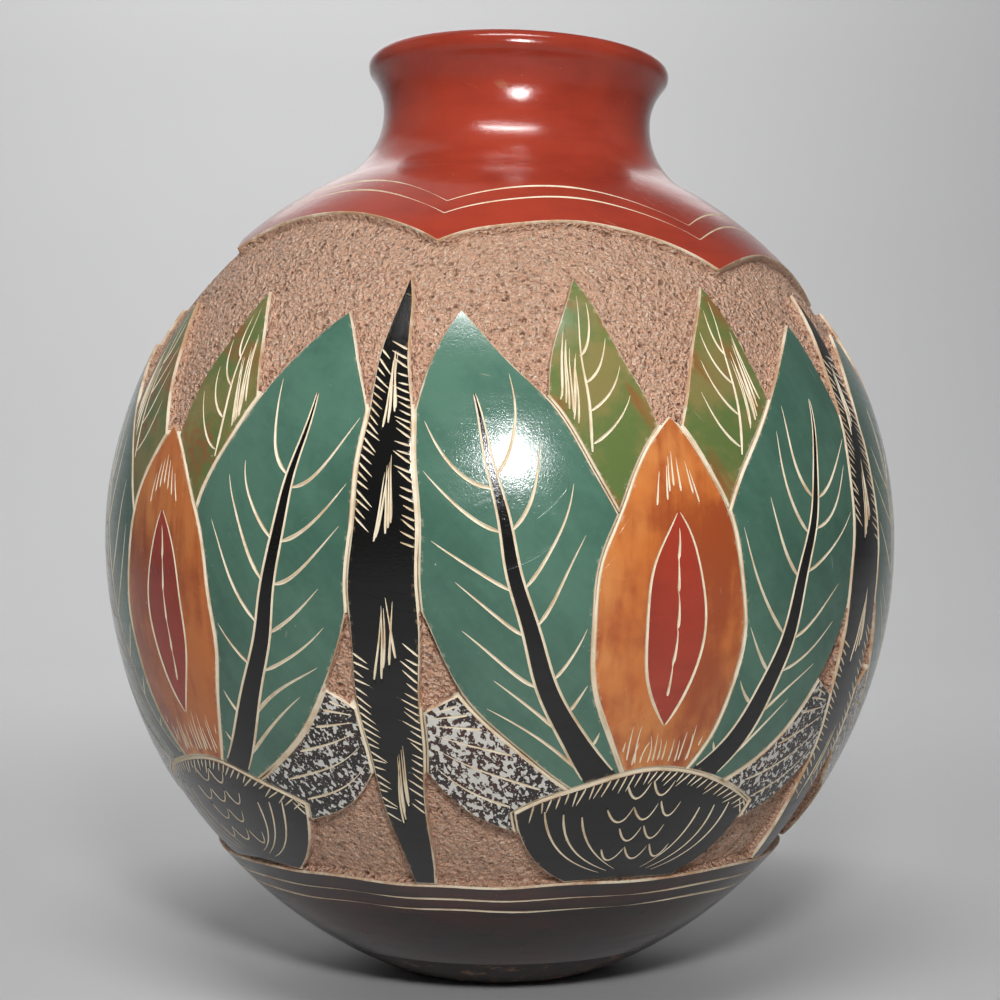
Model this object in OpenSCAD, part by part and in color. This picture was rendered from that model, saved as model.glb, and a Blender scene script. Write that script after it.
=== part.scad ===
// Wheel-thrown pottery vase: a round hollow body, a leaning neck with a rolled lip,
// and raised lands of coloured slip over a carved ground, in five equal sectors
// below a shoulder with seven arches.
// +Z is up, the front faces -Y, and the origin is the middle of the flat foot.
// The outer surface is that of the lands. The carved ground lies one carving depth below it.

/* [Body] */
// Radius of the body at the belly
body_r = 89; // [84:1:100]
// Height of the belly above the foot
belly_z = 97; // [92:1:104]
// Radius of the flat underside
base_r = 23; // [18:1:32]
// Thickness of the foot slab
foot_h = 8; // [6:0.5:11]
// Thickness of the clay, from the outer surface to the inside
wall = 6.5; // [5:0.5:9]

/* [Neck] */
// Outer radius of the throat
throat_r = 30.5; // [26:0.5:36]
// Thickness of the neck, which its lip rounds off
neck_wall = 5.8; // [4:0.2:7]
// Radius of the fillet from the shoulder to the throat
neck_fillet_r = 18.5; // [12:0.5:26]
// Radius of the flare from the throat to the lip
flare_r = 13.5; // [10:0.5:20]
// Outer radius of the lip
rim_r = 34.3; // [33:0.1:37]
// Lean of the neck to the right, in degrees
neck_lean = 2.3; // [0:0.1:4]

/* [Carving] */
// Depth of the carved ground below the lands
carve_depth = 1.6; // [1:0.1:2.4]
// Width of the incised line between two lands
incision = 0.8; // [0.4:0.1:1.4]
// Turn of the first palmette from the front, to the right, in degrees
first_turn = 22; // [0:1:71]

/* [Shoulder and band] */
// Turn of the first arch's middle from the front, to the right, in degrees
first_arch = 11; // [0:1:51]
// Height of the scalloped edge at the top of an arch
scallop_z = 162; // [158:0.5:164]
// Drop of the scalloped edge from the top of an arch to the point between two arches
scallop_drop = 6.5; // [3:0.5:8]
// Lean of the scalloped edge to the right, in degrees
scallop_lean = 4.5; // [0:0.1:6]
// Height of the dark band's upper edge
band_z = 29; // [24:0.5:32]

/* [Calyx and heart] */
// Height of the calyx tips, where the leaves start
calyx_z = 45; // [42:0.5:50]
// Width of the calyx from tip to tip
calyx_w = 50; // [36:0.5:56]
// Bulge of the calyx below its tips
calyx_lower = 18; // [12:0.5:20]
// Bulge of the calyx above its tips
calyx_upper = 8; // [4:0.5:14]
// Height of the heart's tip
heart_tip_z = 121; // [110:1:130]
// Width of the heart
heart_w = 31; // [22:0.5:38]

/* [Petals and sepals] */
// Distance of a petal's tip from the palmette's middle
petal_tip_u = 36; // [28:0.5:38]
// Height of a petal's tip
petal_tip_z = 141; // [132:1:146]
// Bulge of a petal's outer edge from the line between its ends
petal_outer = 29; // [20:0.5:31]
// Bulge of a petal's inner edge from the line between its ends
petal_inner = 9; // [6:0.5:14]
// Distance of a sepal's tip from the palmette's middle
sepal_tip_u = 14; // [10:0.5:18]
// Height of a sepal's tip
sepal_tip_z = 147.5; // [143:0.5:150]
// Bulge of a sepal's outer edge from the line between its ends
sepal_outer = 18; // [12:0.5:22]
// Bulge of a sepal's inner edge from the line between its ends
sepal_inner = 9; // [6:0.5:12]

/* [Bracts and stems] */
// Distance of a bract's tip from the palmette's middle
bract_tip_u = 47; // [40:0.5:50]
// Height of a bract's tip
bract_tip_z = 63; // [56:1:68]
// Bulge of a bract's lower edge from the line between its ends
bract_lower = 12; // [8:0.5:16]
// Bulge of a bract's upper edge from the line between its ends
bract_upper = 18; // [10:0.5:20]
// Height of a stem's lower end
stem_foot_z = 18; // [14:1:24]
// Height of a stem's tip
stem_tip_z = 149; // [130:1:150]
// Width of a stem
stem_w = 13; // [7:0.5:15]

/* [Hidden] */
$fn = 96;
// Arcs of large radius are drawn with more sides.
ARC_SIDES = 300;
SECTORS = 5;
SECTOR_TURN = 360 / SECTORS;
ARCHES = 7;
ARCH_TURN = 360 / ARCHES;
// The lower profile is one arc, upright at the belly, that meets the flat underside.
lower_run = body_r - base_r;
lower_arc_r = (lower_run * lower_run + belly_z * belly_z) / (2 * lower_run);
lower_arc_x = body_r - lower_arc_r;
// The neck's own heights are measured along its leaning axis from the middle of the belly.
fillet_x = throat_r + neck_fillet_r;
fillet_reach = body_r + neck_fillet_r;
throat_h = sqrt(fillet_reach * fillet_reach - fillet_x * fillet_x);
seat_h = throat_h * body_r / fillet_reach;
seat_r = fillet_x * body_r / fillet_reach;
bore_r = throat_r - neck_wall;
lip_r = neck_wall / 2;
flare_x = throat_r + flare_r;
lip_reach = flare_r + lip_r;
lip_angle = acos((rim_r - lip_r - flare_x) / lip_reach);
// Each arch of the scalloped edge lies in a plane that rises outward through the arch's top and points.
// The planes stand round an axis that leans on its own, and their tops stay below the neck's seat.
scallop_h = min(scallop_z - belly_z, seat_h - 8);
point_h = scallop_h - scallop_drop;
arch_x = sqrt(body_r * body_r - scallop_h * scallop_h);
point_x = sqrt(body_r * body_r - point_h * point_h) * cos(ARCH_TURN / 2);
arch_rise = atan2(scallop_drop, arch_x - point_x);
// Cutting solids reach past the body by this much.
reach = 2 * body_r;

PALMETTE_KINDS = ["calyx", "heart", "petal_left", "petal_right", "sepal_left", "sepal_right",
    "bract_left", "bract_right", "stem"];

RED_SLIP = [0.52, 0.15, 0.09];
TERRACOTTA = [0.70, 0.50, 0.40];
DARK_SLIP = [0.20, 0.12, 0.10];
SPECKLED_SLIP = [0.35, 0.33, 0.31];
ORANGE_SLIP = [0.72, 0.33, 0.10];
GREEN_SLIP = [0.16, 0.36, 0.29];
OLIVE_SLIP = [0.38, 0.40, 0.15];
BLACK_SLIP = [0.05, 0.05, 0.05];

// Profiles of the body and neck

// Half section of the body, with its outer surface moved inward
module body_area(inset) {
    intersection() {
        translate([0, belly_z]) circle(r = body_r - inset);
        translate([0, belly_z]) square([reach, reach]);
    }
    intersection() {
        translate([lower_arc_x, belly_z]) circle(r = lower_arc_r - inset);
        square([reach, belly_z]);
    }
}

// Section of the body between two insets and two heights
module layer_area(outer_inset, inner_inset, z_low, z_high) {
    intersection() {
        difference() {
            body_area(outer_inset);
            body_area(inner_inset);
        }
        translate([0, z_low]) square([reach, z_high - z_low]);
    }
}

// Layer that the palmettes and stems are cut from, over one sector to either side of the front
module land_layer() {
    rotate([0, 0, -90 - SECTOR_TURN]) rotate_extrude(angle = 2 * SECTOR_TURN)
        layer_area(0, carve_depth, band_z, belly_z + body_r);
}

// Places children on an axis that leans to the right, from the middle of the belly
module on_axis(lean) {
    translate([0, 0, belly_z]) rotate([0, lean, 0]) children();
}

// Everything above the face that the neck sits on
module above_seat() {
    on_axis(neck_lean) translate([-reach, -reach, seat_h]) cube([2 * reach, 2 * reach, reach]);
}

// Half section of the neck: fillet, flare and rolled lip
module neck_area() {
    difference() {
        translate([bore_r, seat_h]) square([seat_r - bore_r, throat_h - seat_h]);
        translate([fillet_x, throat_h]) circle(r = neck_fillet_r);
    }
    translate([flare_x, throat_h]) {
        intersection() {
            difference() {
                circle(r = flare_r + neck_wall);
                circle(r = flare_r);
            }
            polygon([[0, 0], reach * [cos(lip_angle), sin(lip_angle)], [-reach, 0]]);
        }
        translate(lip_reach * [cos(lip_angle), sin(lip_angle)]) circle(r = lip_r);
    }
}

// Outlines of the lands, in the upright plane of their sector, each grown by a margin

// Radius of the arc over a chord, from the chord's length and the bulge
function arc_radius(chord, bulge) = (chord * chord / 4 + bulge * bulge) / (2 * bulge);

// Leaf between two points, with an arc on either side of the line from start to tip
module leaf(start, tip, right, left, margin = 0) {
    chord = norm(tip - start);
    right_r = arc_radius(chord, right);
    left_r = arc_radius(chord, left);
    translate(start) rotate(atan2(tip.y - start.y, tip.x - start.x) - 90) intersection() {
        translate([right - right_r, chord / 2]) circle(r = right_r + margin, $fn = ARC_SIDES);
        translate([left_r - left, chord / 2]) circle(r = left_r + margin, $fn = ARC_SIDES);
    }
}

module calyx_outline(margin = 0) {
    leaf([-calyx_w / 2, calyx_z], [calyx_w / 2, calyx_z], calyx_lower, calyx_upper, margin);
}

module heart_outline(margin = 0) {
    leaf([0, calyx_z], [0, heart_tip_z], heart_w / 2, heart_w / 2, margin);
}

module petal_outline(margin = 0) {
    leaf([0, calyx_z], [petal_tip_u, petal_tip_z], petal_outer, petal_inner, margin);
}

module sepal_outline() {
    leaf([0, calyx_z], [sepal_tip_u, sepal_tip_z], sepal_outer, sepal_inner);
}

module bract_outline() {
    leaf([0, calyx_z], [bract_tip_u, bract_tip_z], bract_lower, bract_upper);
}

module stem_outline(margin = 0) {
    leaf([0, stem_foot_z], [0, stem_tip_z], stem_w / 2, stem_w / 2, margin);
}

// Area above the band, where the palmettes and stems stand
module above_band() {
    translate([-reach, band_z + incision]) square([2 * reach, reach]);
}

// Area that one side of a palmette may fill, off the middle line
module side_area() {
    translate([incision / 2, 0]) square([reach, reach]);
}

// Placing of the lands

// Turns a land from the front to its sector
module sector(k) {
    rotate([0, 0, first_turn + k * SECTOR_TURN]) children();
}

// Extrudes an outline outward through the front
module outward() {
    rotate([90, 0, 0]) linear_extrude(reach) children();
}

// Everything below and outside arch k of the shoulder
module outside_arch(k) {
    on_axis(scallop_lean) rotate([0, 0, first_arch + k * ARCH_TURN]) translate([0, -arch_x, scallop_h])
        rotate([-arch_rise, 0, 0]) translate([-reach, -reach, -2 * reach]) cube(2 * reach);
}

// Everything below the points of the scalloped edge, less the incised line
module below_points() {
    on_axis(scallop_lean) translate([-reach, -reach, point_h - incision - 2 * reach]) cube(2 * reach);
}

// Cuts for the stems half a sector to either side of the front
module stem_cuts() {
    for (side = [-1, 1]) rotate([0, 0, side * SECTOR_TURN / 2]) outward() stem_outline(incision);
}

// Land of the palmette in sector k, clear of the stems
module palmette_land(k) {
    intersection() {
        below_points();
        sector(k) difference() {
            intersection() {
                land_layer();
                outward() intersection() {
                    above_band();
                    children();
                }
            }
            stem_cuts();
        }
    }
}

// Land of a leaf on one side of a palmette, drawn on the right and mirrored for the left
module side_land(k, side) {
    palmette_land(k) mirror([side == "left" ? 1 : 0, 0]) intersection() {
        side_area();
        children();
    }
}

// Parts

module foot() {
    color(TERRACOTTA) rotate_extrude() intersection() {
        body_area(0);
        square([reach, foot_h]);
    }
}

module lower_wall() {
    color(TERRACOTTA) rotate_extrude() layer_area(carve_depth, wall, foot_h, belly_z);
}

module upper_wall() {
    color(TERRACOTTA) difference() {
        rotate_extrude() layer_area(carve_depth, wall, belly_z, belly_z + body_r);
        above_seat();
        on_axis(neck_lean) cylinder(r = bore_r, h = reach);
    }
}

module neck() {
    color(RED_SLIP) on_axis(neck_lean) rotate_extrude() neck_area();
}

module shoulder() {
    color(RED_SLIP) difference() {
        rotate_extrude() layer_area(0, carve_depth, belly_z, belly_z + body_r);
        for (k = [1:ARCHES]) outside_arch(k);
        above_seat();
    }
}

module band() {
    color(DARK_SLIP) rotate_extrude() layer_area(0, carve_depth, foot_h, band_z);
}

module calyx(k) {
    color(BLACK_SLIP) palmette_land(k) calyx_outline();
}

module heart(k) {
    color(ORANGE_SLIP) palmette_land(k) difference() {
        heart_outline();
        calyx_outline(incision);
    }
}

module petal(k, side) {
    color(GREEN_SLIP) side_land(k, side) difference() {
        petal_outline();
        heart_outline(incision);
        calyx_outline(incision);
    }
}

module sepal(k, side) {
    color(OLIVE_SLIP) side_land(k, side) difference() {
        sepal_outline();
        petal_outline(incision);
        heart_outline(incision);
        calyx_outline(incision);
    }
}

module bract(k, side) {
    color(SPECKLED_SLIP) side_land(k, side) difference() {
        bract_outline();
        petal_outline(incision);
        heart_outline(incision);
        calyx_outline(incision);
    }
}

module stem(k) {
    color(BLACK_SLIP) intersection() {
        below_points();
        sector(k + 0.5) intersection() {
            land_layer();
            outward() intersection() {
                above_band();
                stem_outline();
            }
        }
    }
}

foot();
lower_wall();
upper_wall();
neck();
shoulder();
band();
for (k = [1:SECTORS]) {
    calyx(k);
    heart(k);
    petal(k, "left");
    petal(k, "right");
    sepal(k, "left");
    sepal(k, "right");
    bract(k, "left");
    bract(k, "right");
    stem(k);
}
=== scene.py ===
"""A carved pottery vase, dressed over its packed construction.

The body's outer surface is unrolled to a flat sheet: distance round the belly, and arc length up
from the belly. Outlines and cut strokes are drawn on that sheet, divided into triangles and wrapped
back on the body. All lengths are in metres, and the front faces -Y.
"""

import math
import random

import bpy
import numpy as np
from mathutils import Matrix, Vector, noise
from mathutils.geometry import delaunay_2d_cdt
from mathutils.kdtree import KDTree


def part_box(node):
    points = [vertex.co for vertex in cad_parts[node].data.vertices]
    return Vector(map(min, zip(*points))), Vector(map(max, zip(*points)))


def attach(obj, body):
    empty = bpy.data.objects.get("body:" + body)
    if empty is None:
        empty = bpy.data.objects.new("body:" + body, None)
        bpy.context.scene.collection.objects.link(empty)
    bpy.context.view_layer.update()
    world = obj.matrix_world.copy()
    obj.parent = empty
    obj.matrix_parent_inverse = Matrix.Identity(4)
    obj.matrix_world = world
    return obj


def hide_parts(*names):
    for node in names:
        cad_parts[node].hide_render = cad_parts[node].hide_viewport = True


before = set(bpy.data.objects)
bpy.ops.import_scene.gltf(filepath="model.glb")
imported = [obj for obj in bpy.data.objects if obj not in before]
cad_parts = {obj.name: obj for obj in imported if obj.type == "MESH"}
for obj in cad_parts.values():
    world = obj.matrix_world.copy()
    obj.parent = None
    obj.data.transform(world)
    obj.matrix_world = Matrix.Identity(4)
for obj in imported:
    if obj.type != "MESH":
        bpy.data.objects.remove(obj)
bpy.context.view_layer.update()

bl_info = {
    "name": "Carved Vase",
    "version": (1, 0, 0),
    "blender": (4, 5, 0),
    "location": "View3D > Sidebar > Vase",
    "description": "Dresses a thrown vase with carved lands of burnished slip",
    "category": "Add Mesh",
}

MM = 0.001
SECTORS = 5
SECTOR_TURN = math.tau / SECTORS
ARCHES = 7
ARCH_TURN = math.tau / ARCHES
# Columns of the neck and band, of the shoulder, of the two walls and of the foot
COLUMNS = 480
SHOULDER_COLUMNS = 720
WALL_COLUMNS = 960
FOOT_COLUMNS = 128
# Rows up the foot's side and up the inside of each wall
FOOT_ROWS = 16
INNER_ROWS = 14
# Spacing of points along outlines, strokes and profiles, over lands and ground, and out of sight
OUTLINE_STEP = 0.8 * MM
STROKE_STEP = 0.7 * MM
NECK_STEP = 0.6 * MM
LIP_STEP = 0.35 * MM
LAND_STEP = 1.1 * MM
GROUND_STEP = 0.55 * MM
HIDDEN_STEP = 4 * MM
# Shares of a step that loose points keep clear of fixed ones, in sight and out of sight
CLEAR = 0.55
HIDDEN_CLEAR = 0.4
# Fewest points on a path, points on a bowed stroke and along the side of a trimming block
FEWEST = 4
BOW_POINTS = 25
BLOCK_POINTS = 90
# Bend in radians that counts as a corner, and the share of a step below which points are crowded
CORNER = 0.35
CROWDED = 0.6
# Limits that keep a sharp corner of a grown loop from shooting out
SHARPEST = 0.2
FURTHEST = 0.6
# Points closer than this are one point
MERGE = 1e-6
# Tests of a point against an outline's edge that are held in memory together
TESTS_AT_ONCE = 4_000_000
# Angles up to which edges are smoothed
LAND_SMOOTH = math.radians(24)
TURNED_SMOOTH = math.radians(40)
WALL_SMOOTH = math.radians(60)
# The hand's drift from a true line, the unevenness of the surface, and the room kept for it
DRIFT = 0.8 * MM
UNEVEN = 0.09 * MM
SKIN = 0.15 * MM
# Where they start to show above the foot and below the neck's seat, and the run to their full size
FADE_START = 3 * MM
FADE_RUN = 12 * MM
# Seed and wavelength of each kind of smooth unevenness, its count of waves and their spread
SWAYS = {
    "across": (1, 30 * MM),
    "along": (2, 30 * MM),
    "rise": (3, 34 * MM),
    "pared": (4, 45 * MM),
    "lumps": (5, 7 * MM),
    "ragged": (6, 5 * MM),
}
WAVES = 6
WAVE_SPREAD = (0.6, 1.5)
# Share of an arch's turn, either way from its middle, in which its plane can be the edge
ARCH_REACH = 0.75
# Blocks that trim the lands: below the band's line, and over the other half of a palmette
BASE_HALF = 48 * MM
BASE_DEPTH = 8 * MM
OTHER_HALF = 40 * MM
OTHER_TOP = 160 * MM
# Edge of a land: a scraped rim, a slope to its toe, and a skirt that is sunk into the ground
RIM_WIDTH = 0.15 * MM
RIM_DROP = 0.08 * MM
SLOPE_SHARE = 0.35
SLOPE_DROP = 0.3
TOE_OUT = (0.28 * MM, 1.0 * MM)
TOE_ROOM = 0.52
TOE_DROP = 0.32 * MM
TOE_SINK = 0.1 * MM
SKIRT_SINK = 0.9 * MM
WEAR_REACH = 3 * MM
# Gaps between lands: up to the first width they are one cut line, past the second open ground
LINE_GAP = 1.1 * MM
OPEN_GAP = 3.0 * MM
# Cut strokes: depth, least half width, share of the width at the start, and swell along the length
CUT_DEPTH = 0.34 * MM
CUT_LEAST = 0.03 * MM
CUT_START = 0.45
CUT_SWELL = 5
# Their margin from a land's edge, the depth that shows bare clay, and the room searched round them
CUT_MARGIN = 0.9 * MM
CUT_SHOWS = 0.01 * MM
CUT_ROOM = 0.1 * MM
# Lines cut round the pot, by their width in veins, and their drops below the band's edge
LINE_WIDTH = 0.9
BAND_LINES = (6 * MM, 3.2 * MM)
# Punched pits of the ground, lumps between them, and the margin of ground hidden under a land
PIT_PITCH = 2.0 * MM
PIT_DEPTH = 0.5 * MM
LUMP = 0.12 * MM
COVER_MARGIN = 0.7 * MM
# Foot: height and width of its lower edge, and the upright share of the normal of a flat face
FOOT_CHAMFER = 0.8 * MM
FOOT_INSET = 1.2 * MM
FLAT = 0.99
# Finishes of a land's faces, by their place in its list of materials
SLIP, CUT, ZONE, EDGE, GROUND = range(5)
# Stage: floor, backdrop and the round corner between them, in metres
FLOOR_SIZE = 5
FLOOR_MIDDLE = (0, -1.2, 0)
BACKDROP_HEIGHT = 2.5
COVE = 0.5
COVE_STEPS = 20
# Lamps: place, target, watts, width, height and spread in degrees
MIDDLE = (0, 0, 0.1)
LAMPS = {
    "key": ((0.02, -0.46, 0.27), (0, -0.08, 0.15), 0.30, 0.070, 0.070, 80),
    "bar": ((-0.05, -0.54, 1.14), (0, -0.08, 0.14), 5.6, 0.70, 0.070, 180),
    "left": ((-1.3, 0.25, 0.6), MIDDLE, 0.5, 1.3, 1.3, 180),
    "right": ((1.3, 0.25, 0.6), MIDDLE, 0.25, 1.3, 1.3, 180),
    "top": ((-0.5, 0.8, 1.3), MIDDLE, 0.8, 1.1, 1.1, 180),
    "back": ((0, 1.0, 0.75), MIDDLE, 0.7, 0.9, 0.6, 180),
    "backdrop": ((-0.2, 0.45, 0.95), (-0.2, 1.35, 0.5), 7.5, 1.4, 0.3, 180),
}
SKY = (0.95, 0.97, 1.0, 1)
SKY_STRENGTH = 0.06
# Camera: place in metres, sensor and lens in millimetres, and shift of the frame
CAMERA_PLACE = (0, -0.448, 0.104)
SENSOR = 36
LENS = 70.2
SHIFT_UP = 0.007


def length(name, description, millimetres):
    """Property that holds one length."""
    return bpy.props.FloatProperty(
        name=name,
        description=description,
        default=millimetres * MM,
        min=0,
        unit="LENGTH",
        precision=4,
    )


def lengths(name, description, millimetres):
    """Property that holds several lengths."""
    return bpy.props.FloatVectorProperty(
        name=name,
        description=description,
        default=[value * MM for value in millimetres],
        size=len(millimetres),
        unit="LENGTH",
        precision=4,
    )


def turn(name, description, degrees):
    """Property that holds one angle."""
    return bpy.props.FloatProperty(
        name=name, description=description, default=math.radians(degrees), subtype="ANGLE"
    )


def colour(name, description, red, green, blue):
    """Property that holds one colour."""
    return bpy.props.FloatVectorProperty(
        name=name,
        description=description,
        default=(red, green, blue, 1),
        size=4,
        subtype="COLOR",
        min=0,
        max=1,
    )


class VaseSizes(bpy.types.PropertyGroup):
    """Sizes of the body, the neck and the lands, as the construction has them."""

    radius: length("Belly radius", "Outer radius at the belly", 89)
    belly: length("Belly height", "Height of the belly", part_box("lower_wall")[1].z / MM)
    base: length("Base radius", "Radius of the flat underside", 23)
    foot: length("Foot height", "Thickness of the foot slab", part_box("foot")[1].z / MM)
    band: length("Band height", "Height of the band's upper edge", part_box("band")[1].z / MM)
    wall: length("Wall", "Thickness of the clay", 6.5)
    throat: length("Throat radius", "Outer radius of the throat", 30.5)
    neck_wall: length("Neck wall", "Thickness of the neck", 5.8)
    fillet: length("Neck fillet", "Radius from the shoulder to the throat", 18.5)
    flare: length("Flare", "Radius from the throat to the lip", 13.5)
    rim: length("Rim radius", "Outer radius of the lip", 34.3)
    lean: turn("Neck lean", "Lean of the neck to the right", 2.3)
    carving: length("Carving depth", "Depth of the ground below the lands", 1.6)
    incision: length("Incision", "Width of the line between two lands", 0.8)
    first_turn: turn("First turn", "Turn of the front palmette to the right", 22)
    first_arch: turn("First arch", "Turn of the front arch of the shoulder to the right", 11)
    scallop: lengths("Scallop", "Height of an arch's top and drop to its points", (162, 6.5))
    scallop_lean: turn("Scallop lean", "Lean of the scalloped edge to the right", 4.5)
    scallop_lines: lengths("Scallop lines", "Cut lines, by distance up the scallop", (8.6, 13.2))
    calyx: lengths("Calyx", "Width, height of the tips, lower and upper bulge", (50, 45, 18, 8))
    heart: lengths("Heart", "Height of the tip and width", (121, 31))
    petal: lengths("Petal", "Tip's place and height, outer and inner bulge", (36, 141, 29, 9))
    sepal: lengths("Sepal", "Tip's place and height, outer and inner bulge", (14, 147.5, 18, 9))
    bract: lengths("Bract", "Tip's place and height, lower and upper bulge", (47, 63, 12, 18))
    stem: lengths("Stem", "Height of the lower end and of the tip, and width", (18, 149, 13))
    vein: length("Vein", "Width of a cut vein at its thick end", 0.8)
    hair: length("Hair", "Width of a fine hatched stroke", 0.42)


class VaseColours(bpy.types.PropertyGroup):
    """Colours of the slips and the clay, and of the painted shade and glints on the punched ground.
    """

    red: colour("Red slip", "Neck and shoulder", 0.390, 0.048, 0.024)
    red_deep: colour("Deep red slip", "Darker cloud in the red slip", 0.240, 0.028, 0.016)
    green: colour("Green slip", "Petals", 0.088, 0.190, 0.136)
    green_deep: colour("Deep green slip", "Darker cloud in the green slip", 0.052, 0.126, 0.090)
    olive: colour("Olive slip", "Sepals", 0.115, 0.165, 0.048)
    olive_pale: colour("Pale olive slip", "Paler cloud in the olive slip", 0.225, 0.190, 0.065)
    rust: colour("Rust", "Brush marks in the olive slip", 0.270, 0.095, 0.030)
    orange: colour("Orange slip", "Hearts", 0.600, 0.175, 0.040)
    orange_deep: colour("Deep orange slip", "Darker cloud in the orange slip", 0.360, 0.076, 0.022)
    amber: colour("Amber", "Paler cloud in the orange slip", 0.720, 0.300, 0.090)
    black: colour("Black slip", "Calyxes, stems and ribs", 0.0060, 0.0060, 0.0058)
    speckle_dark: colour("Speckled ground", "Dark ground of the speckled slip", 0.020, 0.016, 0.015)
    speckle_pale: colour("Speckle", "Sponged flecks of the speckled slip", 0.740, 0.720, 0.660)
    dark: colour("Dark slip", "Band above the foot", 0.020, 0.013, 0.011)
    dark_red: colour("Dark red slip", "Redder cloud in the band", 0.060, 0.020, 0.015)
    cut: colour("Cut clay", "Clay in the cut strokes and on the edges", 0.800, 0.700, 0.530)
    cut_tan: colour("Tan clay", "Browner cut clay", 0.580, 0.410, 0.230)
    # Partly the pared clay's own tone and partly painted shade on the sloped edges of the lands
    edge: colour("Edge clay", "Pared edges of the lands", 0.500, 0.300, 0.165)
    ridge: colour("Ridge", "Slopes of the punched ground", 0.830, 0.480, 0.320)
    # Painted highlight: the near-white that the highest grains of the punched ground are mixed to
    painted_glint: colour("Glint", "High grains of the punched ground", 0.960, 0.810, 0.660)
    # Painted shade: the colour that the punched ground is darkened to in its hollows and punched
    # dots; the ridge colour above is the ground's own
    pit: colour("Pit", "Hollows of the punched ground", 0.260, 0.100, 0.052)
    clay: colour("Raw clay", "Inside and foot", 0.420, 0.215, 0.130)
    floor: colour("Floor", "Floor and backdrop", 0.660, 0.660, 0.665)
    floor_cloud: colour("Floor cloud", "Faint cloud in the floor", 0.600, 0.600, 0.620)


# Shape of the body and the sheet that it unrolls to


def sway(points, kind):
    """Smooth uneven values of about -1 to 1 over points in space."""
    seed, wavelength = SWAYS[kind]
    chance = random.Random(seed)
    total = np.zeros(len(points))
    for _ in range(WAVES):
        direction = np.array([chance.gauss(0, 1) for _ in range(3)])
        pace = math.tau / wavelength * chance.uniform(*WAVE_SPREAD)
        direction *= pace / np.linalg.norm(direction)
        total += np.sin(points @ direction + chance.uniform(0, math.tau))
    return total / math.sqrt(2 * WAVES)


def pared(points):
    """Width of a land's pared edge at points in space: mostly narrow, and wide in a few places."""
    wide = np.clip(0.45 + 0.6 * sway(points, "pared"), 0, 1) ** 3
    ragged = 1 + 0.12 * sway(points, "ragged")
    narrowest, widest = TOE_OUT
    return (narrowest + (widest - narrowest) * wide) * ragged


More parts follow.
